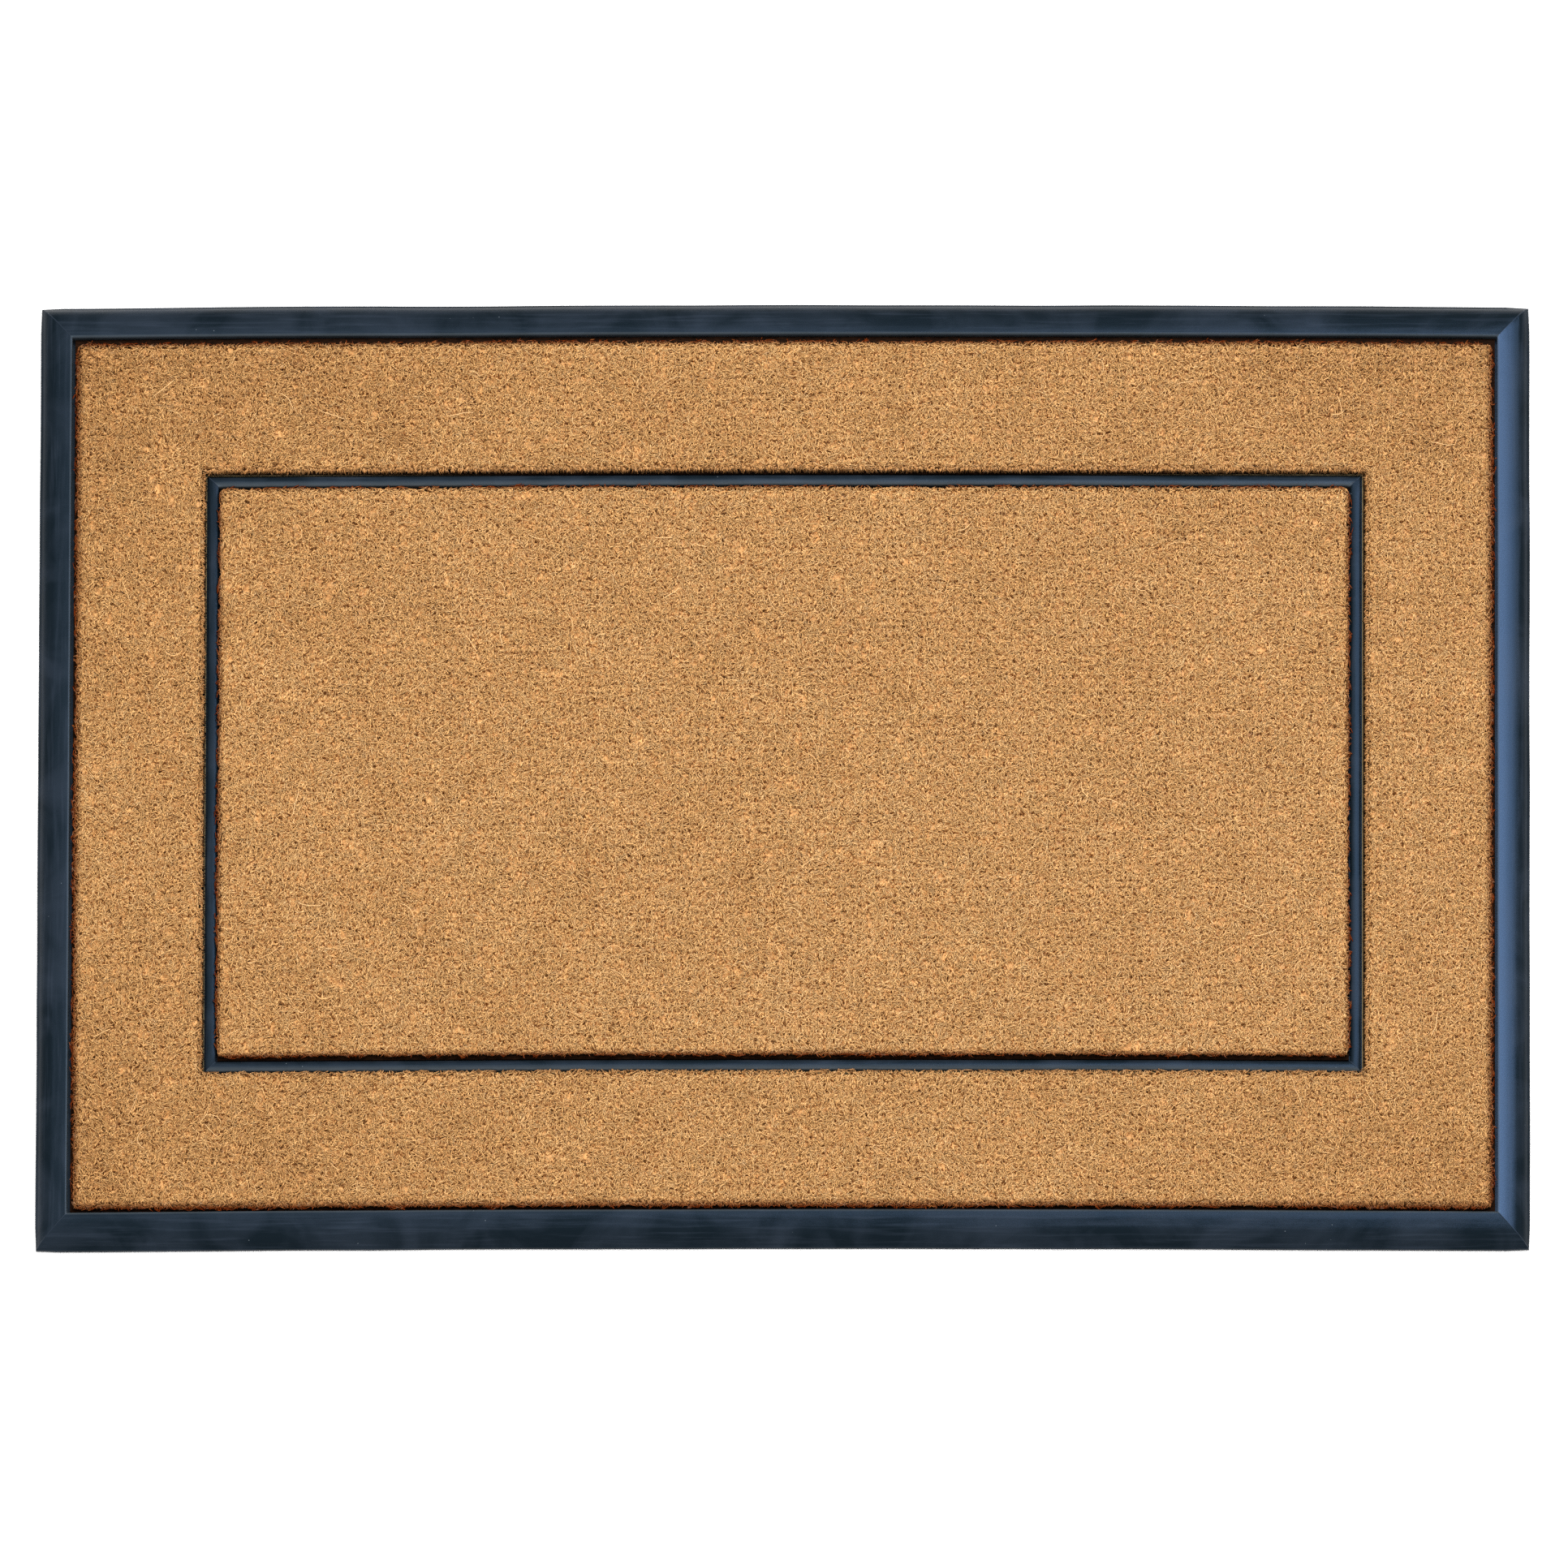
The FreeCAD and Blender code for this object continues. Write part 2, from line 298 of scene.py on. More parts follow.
@dataclass(frozen=True)
class RubberFinish:
    """Blue-black moulded rubber: half gloss, a dusty bloom, pale fluff specks and faint scuffs, with
    painted light: a highlight along the recess rim, a lighter southern half on the rib's long sides and
    a blue window sheen on the east border.

    Args:
        border_corner: How much longer than wide the mat is, half of it, which places the
            mitres of the border.
        rib_corner: The same for the rib.
        rib_reach: Half sizes beyond which a point is on the border and not on the rib.
        rib_middle: Distance from the mat's middle to the middle of the rib's long sides.
        recess: Half sizes of the recess, along whose rim a painted highlight is laid.
    """

    border_corner: float
    rib_corner: float
    rib_reach: tuple[float, float]
    rib_middle: float
    recess: tuple[float, float]
    base: tuple[float, float, float] = (0.0024, 0.0050, 0.0074)
    bloom: tuple[float, float, float] = (0.0140, 0.0195, 0.0285)
    # This pale colour serves the fluff specks and also the painted rim highlight and the painted light
    # on the rib.
    dust_and_highlight: tuple[float, float, float] = (0.10, 0.12, 0.135)
    # A painted reflection: the colour of the window's blue sheen on the east border.
    sheen: tuple[float, float, float] = (0.075, 0.135, 0.26)
    bloom_size: float = 0.045
    streak_size: float = 0.0022
    grain_size: float = 0.0009
    speck_spacing: float = 0.012
    speck_radius: float = 0.030
    # Shares of the painted rim highlight and of the painted light on the southern half of the rib's long
    # sides.
    rim_highlight: float = 0.20
    rib_lit_side: float = 0.38
    # How strong the painted window sheen is at the recess and how far out it fades.
    sheen_share: float = 0.40
    sheen_fade: float = 0.013

    def material(self) -> bpy.types.Material:
        """Build the rubber's material.

        Returns:
            The material.
        """
        board = NodeBoard("moulded_rubber")
        cloudy = board.remap(board.noise(self.bloom_size, 6.0, distortion=0.8), 0.42, 0.68)
        long_x = board.noise(self.streak_size, 5.0, board.stretched((0.05, 1.0, 1.0)))
        long_y = board.noise(self.streak_size, 5.0, board.stretched((1.0, 0.05, 1.0)))
        rest = board.tree.nodes.new("ShaderNodeAttribute")
        rest.attribute_name = "rest"
        parts = board.tree.nodes.new("ShaderNodeSeparateXYZ")
        board.link(rest.outputs["Vector"], parts.inputs["Vector"])
        x = board.math("ABSOLUTE", parts.outputs["X"])
        y = board.math("ABSOLUTE", parts.outputs["Y"])
        diagonal = board.math("SUBTRACT", x, y)
        on_rib = board.math("MULTIPLY", board.math("LESS_THAN", x, self.rib_reach[0]),
                            board.math("LESS_THAN", y, self.rib_reach[1]))
        corner = board.remap(on_rib, 0.0, 1.0, self.border_corner, self.rib_corner)
        away = board.math("SUBTRACT", diagonal, corner)
        lengthwise = board.math("LESS_THAN", away, 0.0)
        streak = board.blend(lengthwise, long_y, long_x)
        streak = board.remap(streak, 0.50, 0.74)
        mitre = board.remap(board.math("ABSOLUTE", away), 0.00025, 0.0006, 1.0, 0.0)
        share = board.math("ADD", board.math("MULTIPLY", cloudy, 0.55),
                           board.math("MULTIPLY", streak, 0.45))
        share = board.math("MAXIMUM", share, board.math("MULTIPLY", mitre, 0.8))
        # Painted highlight: a light line along the recess rim, where the crest would catch the key
        # light.
        out = board.math("MAXIMUM", board.math("SUBTRACT", x, self.recess[0]),
                         board.math("SUBTRACT", y, self.recess[1]))
        off_rim = board.math("ABSOLUTE", board.math("SUBTRACT", out, 0.0007))
        rim = board.remap(off_rim, 0.0004, 0.0012, self.rim_highlight, 0.0)
        # Painted light and shade: on the rib's long sides the southern half is made lighter, as if lit,
        # and the northern half stays dark, as if in the pile's shadow.
        beyond = board.math("SUBTRACT", y, self.rib_middle)
        southward = board.math("MULTIPLY", board.math("SIGN", parts.outputs["Y"]), beyond)
        painted_lit_side = board.remap(southward, 0.0002, -0.0030, 0.0, self.rib_lit_side)
        painted_lit_side = board.math("MULTIPLY", board.math("MULTIPLY", painted_lit_side, on_rib), lengthwise)
        # Painted reflection: a blue sheen of the window on the east border, fading outwards from the
        # recess.
        east_sheen = board.math("GREATER_THAN", parts.outputs["X"], self.recess[0])
        east_sheen = board.math("MULTIPLY", east_sheen, board.math("GREATER_THAN", away, 0.0))
        fading = board.remap(x, self.recess[0], self.recess[0] + self.sheen_fade, self.sheen_share, 0.0)
        east_sheen = board.math("MULTIPLY", east_sheen, fading)
        colour = board.blend(east_sheen, board.blend(share, self.base, self.bloom), self.sheen)
        lint_and_highlights = board.math("MULTIPLY", board.specks(self.speck_spacing, self.speck_radius), 0.8)
        # The fluff specks, the painted rim highlight and the painted light on the rib all lift the
        # colour towards the pale speck colour.
        lint_and_highlights = board.math("MAXIMUM", lint_and_highlights, board.math("MAXIMUM", painted_lit_side, rim))
        board.link(board.blend(lint_and_highlights, colour, self.dust_and_highlight), board.shader.inputs["Base Color"])
        board.link(board.remap(share, 0.0, 1.0, 0.27, 0.47), board.shader.inputs["Roughness"])
        board.set(Specular_IOR_Level=0.078, Specular_Tint=(0.56, 0.74, 1.0, 1.0))
        grain = board.noise(self.grain_size, 2.0)
        peel = board.noise(self.grain_size * 6.0, 2.0)
        relief = board.math("ADD", board.math("MULTIPLY", grain, 0.35), peel)
        board.bump(board.math("ADD", relief, board.math("MULTIPLY", mitre, 1.5)), 0.00007)
        return board.material


@dataclass(frozen=True)
class CoirFinish:
    """Golden coconut fibre: each fibre has its own tone, and painted shade darkens it down towards its
    root and near the pile's free edges.
    """

    # The deepest brown: the darkest tone, the soil specks and the painted shade low in the pile.
    deep: tuple[float, float, float] = (0.055, 0.018, 0.004)
    dark: tuple[float, float, float] = (0.24, 0.100, 0.028)
    brown: tuple[float, float, float] = (0.50, 0.245, 0.078)
    golden: tuple[float, float, float] = (0.765, 0.432, 0.160)
    straw: tuple[float, float, float] = (0.81, 0.52, 0.245)
    grey: tuple[float, float, float] = (0.46, 0.36, 0.23)
    rust: tuple[float, float, float] = (0.60, 0.27, 0.075)
    # The tint of the painted shade near the pile's free edges.
    edge_shade_tint: tuple[float, float, float] = (0.22, 0.065, 0.020)
    strand_size: float = 0.0009
    soil_spacing: float = 0.052
    soil_radius: float = 0.018
    off_colour: float = 0.40
    root_height: float = 0.0066
    tip_height: float = 0.0094

    def material(self) -> bpy.types.Material:
        """Build the pile's material, which reads each fibre's tone.

        Returns:
            The material.
        """
        board = NodeBoard("coir_pile")
        tone = board.attribute("tone")
        patch = board.remap(board.noise(0.045, 4.0), 0.3, 0.7, -0.05, 0.05)
        fleck = board.remap(board.noise(0.0013, 2.0), 0.25, 0.75, -0.06, 0.06)
        strands = board.remap(board.streaks("grain", self.strand_size), 0.28, 0.72, -0.10, 0.10)
        value = board.math("ADD", board.math("ADD", tone, patch), board.math("ADD", fleck, strands))
        colour = board.ramp(value, (
            (0.0, self.deep), (0.12, self.dark), (0.28, self.brown), (0.60, self.golden),
            (1.0, self.straw),
        ))
        # Painted shade: fibres are darker lower down in the pile, towards the root.
        shade = board.remap(board.height(), self.root_height, self.tip_height, 0.20, 1.0)
        tinted = board.blend(shade, self.deep, colour)
        # Painted shade near the pile's free edges, where the gaps beside the rubber lie in shadow: each
        # point's edge number tints it darker and redder.
        tinted = board.blend(board.attribute("edge"), tinted, self.edge_shade_tint, "MULTIPLY")
        soil = board.specks(self.soil_spacing, self.soil_radius, board.stretched((1.0, 1.0, 0.0)))
        tinted = board.blend(board.math("MULTIPLY", soil, 0.85), tinted, self.deep)
        weathered = board.remap(board.noise(0.0028, 3.0), 0.55, 0.78, 0.0, self.off_colour)
        blotches = board.noise(0.0041, 3.0, board.stretched((1.0, 1.0, 1.7)))
        ruddy = board.remap(blotches, 0.55, 0.8, 0.0, self.off_colour)
        tinted = board.blend(weathered, tinted, self.grey)
        tinted = board.blend(ruddy, tinted, self.rust)
        board.link(tinted, board.shader.inputs["Base Color"])
        gloss = board.remap(board.attribute("edge"), 0.0, 1.0, 0.22, 0.03)
        board.link(gloss, board.shader.inputs["Specular IOR Level"])
        board.set(Roughness=0.62)
        return board.material


@dataclass(frozen=True)
class YarnClothFinish:
    """Twisted coir yarn of the ground cloth, coloured near black as painted shade for the deep gaps
    round the pile, with a pale cut edge beside the rib.

    Args:
        rib: Half sizes of the rib's outline.
    """

    rib: tuple[float, float]
    # dark and light are both near black: painted shade for the deep gaps where the cloth shows round the
    # pile.
    dark: tuple[float, float, float] = (0.004, 0.002, 0.001)
    light: tuple[float, float, float] = (0.018, 0.007, 0.003)
    cut: tuple[float, float, float] = (0.24, 0.19, 0.10)
    fibre_size: float = 0.0009

    def material(self) -> bpy.types.Material:
        """Build the ground cloth's material.

        Returns:
            The material.
        """
        board = NodeBoard("coir_ground_cloth")
        strands = board.noise(self.fibre_size, 4.0, board.stretched((0.25, 1.0, 1.0)))
        parts = board.tree.nodes.new("ShaderNodeSeparateXYZ")
        board.link(board.place, parts.inputs["Vector"])
        off = [
            board.math("SUBTRACT", board.math("ABSOLUTE", parts.outputs[axis]), half)
            for axis, half in zip("XY", self.rib)
        ]
        away = board.math("ABSOLUTE", board.math("MAXIMUM", *off))
        cut = board.remap(away, 0.0011, 0.0016, 0.6, 0.0)
        woven = board.blend(board.remap(strands, 0.3, 0.7), self.dark, self.light)
        board.link(board.blend(cut, woven, self.cut), board.shader.inputs["Base Color"])
        board.set(Roughness=0.9, Specular_IOR_Level=0.03)
        board.bump(strands, 0.0003)
        return board.material


@dataclass(frozen=True)
class PlainFinish:
    """A matt layer that hardly shows: the latex back coat or the adhesive film."""

    name: str
    low: tuple[float, float, float]
    high: tuple[float, float, float]
    mottle: float
    roughness: float

    def material(self) -> bpy.types.Material:
        """Build the layer's mottled material.

        Returns:
            The material.
        """
        board = NodeBoard(self.name)
        mottled = board.remap(board.noise(self.mottle, 4.0), 0.3, 0.7)
        board.link(board.blend(mottled, self.low, self.high), board.shader.inputs["Base Color"])
        board.set(Roughness=self.roughness, Specular_IOR_Level=0.3)
        board.bump(mottled, 0.00008)
        return board.material


LATEX = PlainFinish("latex_back_coat", (0.020, 0.012, 0.007), (0.050, 0.032, 0.018), 0.004, 0.7)
ADHESIVE = PlainFinish("adhesive_film", (0.02, 0.018, 0.015), (0.06, 0.05, 0.035), 0.006, 0.5)
FLOOR = PlainFinish("studio_floor", (0.86, 0.86, 0.86), (0.88, 0.88, 0.88), 0.3, 0.9)


# ---------------------------------------------------------------------------------------
# Places read from the frame
# ---------------------------------------------------------------------------------------


@dataclass(frozen=True)
class Rect:
    """Half sizes of a rectangle about the mat's middle."""

    x: float
    y: float

    def grown(self, by: float) -> "Rect":
        """Return the rectangle with every side moved outwards by a distance."""
        return Rect(self.x + by, self.y + by)


@dataclass(frozen=True)
class MatPlan:
    """The mat's levels and outlines, read from the CAD nodes.

    Args:
        pile_gap: Distance from each block of pile to the rubber beside it.
        bow: How far the mat's middle lies further back than its mean, as it bends sideways.
    """

    pile_gap: float = 2.3 * MM
    bow: float = 1.0 * MM
    outline: Rect = dataclasses.field(init=False)
    recess: Rect = dataclasses.field(init=False)
    rib_outer: Rect = dataclasses.field(init=False)
    rib_inner: Rect = dataclasses.field(init=False)
    crest: float = dataclasses.field(init=False)
    web_top: float = dataclasses.field(init=False)
    cloth_bottom: float = dataclasses.field(init=False)
    pile_bottom: float = dataclasses.field(init=False)
    pile_top: float = dataclasses.field(init=False)

    def __post_init__(self) -> None:
        """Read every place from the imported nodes."""
        _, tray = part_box("rubber_tray")
        _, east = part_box("border_pile_east")
        east_low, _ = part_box("border_pile_east")
        north_low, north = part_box("border_pile_north")
        _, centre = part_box("centre_pile")
        glue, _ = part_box("centre_inlay_adhesive")
        _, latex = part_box("centre_inlay_backing")
        values = {
            "outline": Rect(tray.x, tray.y),
            "recess": Rect(east.x, north.y).grown(self.pile_gap),
            "rib_outer": Rect(east_low.x, north_low.y).grown(-self.pile_gap),
            "rib_inner": Rect(centre.x, centre.y).grown(self.pile_gap),
            "crest": tray.z,
            "web_top": glue.z,
            "cloth_bottom": latex.z,
            "pile_bottom": north_low.z,
            "pile_top": north.z,
        }
        for name, value in values.items():
            object.__setattr__(self, name, value)

    def bend(self, piece: bpy.types.Object) -> None:
        """Bow a piece with the mat: its middle lies a little further back than its ends.

        Args:
            piece: The piece to bow, with its place in its mesh.
        """
        points = np.empty(len(piece.data.vertices) * 3, dtype=np.float32)
        piece.data.vertices.foreach_get("co", points)
        points = points.reshape(-1, 3)
        points[:, 1] += self.bow * (1.0 - 2.0 * (points[:, 0] / self.outline.x) ** 2)
        piece.data.vertices.foreach_set("co", points.ravel())
        piece.data.update()


# ---------------------------------------------------------------------------------------
# Modelling by hand
# ---------------------------------------------------------------------------------------


class Bench:
    """Edit-mode steps that the modelled pieces share."""

    @staticmethod
    def clear() -> None:
        """Leave edit mode and deselect everything."""
        if bpy.context.object and bpy.context.object.mode != "OBJECT":
            bpy.ops.object.mode_set(mode="OBJECT")
        bpy.ops.object.select_all(action="DESELECT")

    @staticmethod
    def edit(piece: bpy.types.Object) -> None:
        """Make a piece the only selected one and open it in edit mode by faces.

        Args:
            piece: The piece to open.
        """
        Bench.clear()
        bpy.context.view_layer.objects.active = piece
        piece.select_set(True)
        bpy.ops.object.mode_set(mode="EDIT")
        bpy.ops.mesh.select_mode(type="FACE")

    @staticmethod
    def pick(piece: bpy.types.Object, wanted: Callable[[bmesh.types.BMFace], bool]) -> None:
        """Select only the faces of the piece in edit mode that pass a test.

        Args:
            piece: The piece in edit mode.
            wanted: The test for a face.
        """
        bpy.ops.mesh.select_all(action="DESELECT")
        shape = bmesh.from_edit_mesh(piece.data)
        for face in shape.faces:
            face.select_set(wanted(face))
        bmesh.update_edit_mesh(piece.data)

    @staticmethod
    def raise_by(height: float) -> None:
        """Extrude the selected faces straight up, or down if the height is negative."""
        bpy.ops.mesh.extrude_region_move(TRANSFORM_OT_translate={"value": (0.0, 0.0, height)})

    @staticmethod
    def step_in(run: float, rise: float) -> None:
        """Inset the selected face by a run and lift it by a rise."""
        bpy.ops.mesh.inset(thickness=run, depth=rise)

    @staticmethod
    def fit(now: Rect, wanted: Rect) -> None:
        """Scale the selection about the mat's middle from one rectangle to another."""
        bpy.ops.transform.resize(
            value=(wanted.x / now.x, wanted.y / now.y, 1.0), center_override=(0.0, 0.0, 0.0)
        )

    @staticmethod
    def new_mesh(name: str, points: np.ndarray, faces: np.ndarray) -> bpy.types.Object:
        """Make an object from arrays of points and of equally long faces.

        Args:
            name: The piece's name.
            points: An n by 3 array of places.
            faces: An m by k array of point numbers.

        Returns:
            The new object, linked to the scene.
        """
        mesh = bpy.data.meshes.new(name)
        sides = faces.shape[1]
        mesh.vertices.add(len(points))
        mesh.vertices.foreach_set("co", points.astype(np.float32).ravel())
        mesh.loops.add(faces.size)
        mesh.loops.foreach_set("vertex_index", faces.astype(np.int32).ravel())
        mesh.polygons.add(len(faces))
        mesh.polygons.foreach_set("loop_start", np.arange(0, faces.size, sides, dtype=np.int32))
        mesh.update(calc_edges=True)
        piece = bpy.data.objects.new(name, mesh)
        bpy.context.scene.collection.objects.link(piece)
        return piece

    @staticmethod
    def dress(piece: bpy.types.Object, finish: bpy.types.Material, slot: str,
              nodes: Sequence[str] = ()) -> None:
        """Give a piece its material, hang it on the root body and hide the CAD nodes that it stands for.

        Args:
            piece: The piece to dress.
            finish: Its material.
            slot: The name of a material slot; not used.
            nodes: The CAD nodes that it stands for.
        """
        piece.data.materials.clear()
        piece.data.materials.append(finish)
        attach(piece, ROOT)
        if nodes:
            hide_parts(*nodes)
        mesh = piece.data
        LOG.info("%s: %d points, %d faces", piece.name, len(mesh.vertices), len(mesh.polygons))


def arc_steps(start: tuple[float, float], end: tuple[float, float], radius: float,
              count: int) -> list[tuple[float, float]]:
    """Divide a convex arc, bulging to the left of its chord, into equal steps.

    Args:
        start: The arc's first point, as run and height.
        end: The arc's last point.
        radius: The arc's radius.
        count: How many steps to divide it into.

    Returns:
        The points after the first one, up to and with the last.
    """
    chord = Vector((end[0] - start[0], end[1] - start[1]))
    left = Vector((-chord.y, chord.x)).normalized()
    half = chord.length / 2
    centre = Vector(start) + chord / 2 - left * math.sqrt(radius ** 2 - half ** 2)
    turn = 2 * math.asin(half / radius)
    first = Vector(start) - centre
    points = []
    for number in range(1, count + 1):
        angle = -turn * number / count
        x = first.x * math.cos(angle) - first.y * math.sin(angle)
        y = first.x * math.sin(angle) + first.y * math.cos(angle)
        points.append((centre.x + x, centre.y + y))
    return points


@dataclass
class RubberTray:
    """The moulded tray: border, web, rib and feet in one piece of rubber.

    Heights are above the ground and runs are in from the mat's outer edge. The soft moulding lies
    a little out of true: pull_west, pull_east and pull_north are how far the recess stands out on
    that side, lip_draw is how far the north lip is drawn in, and rib_slip is how far the rib has
    moved along Y.
    """

    plan: MatPlan
    lip_height: float = 2.2 * MM
    shoulder: tuple[float, float] = (1.4 * MM, 3.6 * MM)
    shoulder_radius: float = 2.4 * MM
    slope: tuple[float, float] = (12.0 * MM, 10.2 * MM)
    slope_radius: float = 14.0 * MM
    crown_run: float = 20.9 * MM
    crest_radius: float = 1.6 * MM
    rib_height: float = 10.0 * MM
    rib_round: float = 1.5 * MM
    rib_crown: float = 0.28 * MM
    web_underside: float = 1.2 * MM
    foot_radius: float = 5.0 * MM
    foot_pitch: float = 40.0 * MM
    feet: tuple[int, int] = (21, 13)
    corner_radius: float = 2.2 * MM
    cut_pitch: float = 16.0 * MM
    wander: float = 0.45 * MM
    pull_west: float = 2.9 * MM
    pull_east: float = 2.7 * MM
    pull_north: float = -0.6 * MM
    lip_draw: float = 1.2 * MM
    rib_slip: float = -0.6 * MM

    def border_steps(self) -> list[tuple[float, float]]:
        """Return the border's section from the top of its lip to the foot of its crest's arc.

        Returns:
            The section's points as run and height.
        """
        width = self.plan.outline.x - self.plan.recess.x
        crest = self.plan.crest
        steps = [(0.0, self.lip_height)]
        steps += arc_steps(steps[-1], self.shoulder, self.shoulder_radius, 3)
        steps += arc_steps(steps[-1], self.slope, self.slope_radius, 7)
        steps += [((self.slope[0] + self.crown_run) / 2, (self.slope[1] + crest) / 2 + 0.1 * MM)]
        steps += [(self.crown_run, crest)]
        steps += arc_steps(steps[-1], (width, crest - self.crest_radius), self.crest_radius, 4)
        return steps

    def build(self) -> bpy.types.Object:
        """Model the tray from a flat sheet by extruding and insetting it ring by ring.

        Returns:
            The tray, with its feet joined to it.
        """
        plan = self.plan
        Bench.clear()
        bpy.ops.mesh.primitive_plane_add(size=2.0)
        tray = bpy.context.object
        tray.name = "rubber_tray_moulding"
        tray.scale = (plan.outline.x, plan.outline.y, 1.0)
        bpy.ops.object.transform_apply(location=False, rotation=False, scale=True)
        Bench.edit(tray)
        bpy.ops.mesh.select_all(action="SELECT")
        Bench.raise_by(self.lip_height)
        self.shape_border()
        self.shape_rib()
        self.hollow_underside(tray)
        self.cut_lengths()
        bpy.ops.mesh.select_all(action="SELECT")
        bpy.ops.mesh.normals_make_consistent(inside=False)
        bpy.ops.object.mode_set(mode="OBJECT")
        self.mark_rest(tray)
        self.round_corners(tray)
        self.let_wander(tray)
        plan.bend(tray)
        self.add_feet(tray)
        bpy.ops.object.shade_smooth_by_angle(angle=math.radians(32))
        return tray

    def shape_border(self) -> None:
        """Step the top face in over the lip, slope and crown, then drop the inner wall."""
        steps = self.border_steps()
        for (run, height), (next_run, next_height) in zip(steps, steps[1:]):
            Bench.step_in(next_run - run, next_height - height)
        Bench.raise_by(self.plan.web_top - steps[-1][1])

    def shape_rib(self) -> None:
        """Raise the rib round the centre field and drop to the centre field's floor."""
        plan = self.plan
        inset = 20.0 * MM
        Bench.step_in(inset, 0.0)
        Bench.fit(plan.recess.grown(-inset), plan.rib_outer)
        width = plan.rib_outer.x - plan.rib_inner.x
        shoulder = self.rib_height - self.rib_round
        Bench.raise_by(shoulder - plan.web_top)
        rim = self.rib_height - self.rib_crown
        near, far = (self.rib_round * 0.8, rim), (width - self.rib_round * 0.8, rim)
        radius = (width / 2 - near[0]) ** 2 / (2 * self.rib_crown) + self.rib_crown / 2
        section = [(0.0, shoulder)] + arc_steps((0.0, shoulder), near, self.rib_round, 3)
        section += arc_steps(near, far, radius, 6) + arc_steps(far, (width, shoulder), self.rib_round, 3)
        for (run, height), (next_run, next_height) in zip(section, section[1:]):
            Bench.step_in(next_run - run, next_height - height)
        Bench.raise_by(plan.web_top - shoulder)

    def hollow_underside(self, tray: bpy.types.Object) -> None:
        """Lift the web's underside clear of the ground inside the border.

        Args:
            tray: The tray in edit mode.
        """
        Bench.pick(tray, lambda face: abs(face.calc_center_median().z) < 0.01 * MM)
        Bench.step_in(self.plan.outline.x - self.plan.recess.x, 0.0)
        Bench.raise_by(self.web_underside)

    def cut_lengths(self) -> None:
        """Cut the open tray's long faces across at even places, so that it can wander."""
        outline = self.plan.outline
        for axis, half in ((Vector((1, 0, 0)), outline.x), (Vector((0, 1, 0)), outline.y)):
            count = round(2 * half / self.cut_pitch)
            for number in range(1, count):
                place = axis * (half * (2 * number / count - 1))
                bpy.ops.mesh.select_all(action="SELECT")
                bpy.ops.mesh.bisect(plane_co=place, plane_no=axis)

    def mark_rest(self, tray: bpy.types.Object) -> None:
        """Keep each point's true moulded place on the piece, for its finish.

        Args:
            tray: The tray.
        """
        places = np.empty(len(tray.data.vertices) * 3, dtype=np.float32)
        tray.data.vertices.foreach_get("co", places)
        rest = tray.data.attributes.new("rest", "FLOAT_VECTOR", "POINT")
        rest.data.foreach_set("vector", places)

    def round_corners(self, tray: bpy.types.Object) -> None:
        """Pull the four outermost corners of the lip in to a small radius.

        Args:
            tray: The tray.
        """
        outline = self.plan.outline
        for point in tray.data.vertices:
            near = Vector((outline.x - abs(point.co.x), outline.y - abs(point.co.y)))
            if near.x < 0.6 * self.corner_radius and near.y < 0.6 * self.corner_radius:
                point.co.x -= math.copysign(0.3 * self.corner_radius, point.co.x)
                point.co.y -= math.copysign(0.3 * self.corner_radius, point.co.y)

    def let_wander(self, tray: bpy.types.Object) -> None:
        """Let the border's edges run slightly out of true, as soft rubber does.

        Args:
            tray: The tray.
        """
        outline = self.plan.outline
        span = outline.x - self.plan.recess.x
        for point in tray.data.vertices:
            place = point.co.copy()
            depth = min(outline.x - abs(place.x), outline.y - abs(place.y))
            share = max(0.0, 1.0 - depth / span)
            seed = Vector((place.x * 9.0, place.y * 9.0, 3.7))
            drift = noise.noise_vector(seed) * self.wander
            drift += noise.noise_vector(seed * 3.1) * self.wander * 0.35
            point.co.x += drift.x * (0.35 + 0.65 * share)
            point.co.y += drift.y * (0.35 + 0.65 * share)
            if place.z > self.plan.web_top + 0.1 * MM:
                point.co.z += drift.z * 0.4
            if abs(place.x) < self.plan.rib_outer.x + MM and abs(place.y) < self.plan.rib_outer.y + MM:
                point.co.y += self.rib_slip
            deep = (outline.x - abs(place.x)) / span
            if deep < 1.02:
                point.co.x += deep * (self.pull_east if place.x > 0 else -self.pull_west)
            deep = (outline.y - place.y) / span
            if deep < 1.02:
                point.co.y += deep * self.pull_north - max(0.0, 1.0 - deep) * self.lip_draw

    def add_feet(self, tray: bpy.types.Object) -> None:
        """Model one bevelled foot, copy it over the web's underside and join all to the tray.

        Args:
            tray: The tray that the feet join.
        """
        Bench.clear()
        bpy.ops.mesh.primitive_cylinder_add(
            vertices=16, radius=self.foot_radius, depth=1.6 * MM, location=(0.0, 0.0, 0.8 * MM)
        )
        foot = bpy.context.object
        bpy.ops.object.transform_apply(location=True, rotation=False, scale=False)
        Bench.edit(foot)
        Bench.pick(foot, lambda face: face.normal.z < -0.5)
        bpy.ops.mesh.bevel(offset=0.35 * MM, segments=2, affect="EDGES")
        bpy.ops.object.mode_set(mode="OBJECT")
        copies = []
        for column in range(self.feet[0]):
            for row in range(self.feet[1]):
                copy = foot.copy()
                copy.data = foot.data.copy()
                x = (column - (self.feet[0] - 1) / 2) * self.foot_pitch
                y = (row - (self.feet[1] - 1) / 2) * self.foot_pitch
                for point in copy.data.vertices:
                    point.co += Vector((x, y, 0.0))
                bpy.context.scene.collection.objects.link(copy)
                copies.append(copy)
        bpy.data.objects.remove(foot)
        Bench.clear()
        for copy in copies:
            copy.select_set(True)
        tray.select_set(True)
        bpy.context.view_layer.objects.active = tray
        bpy.ops.object.join()

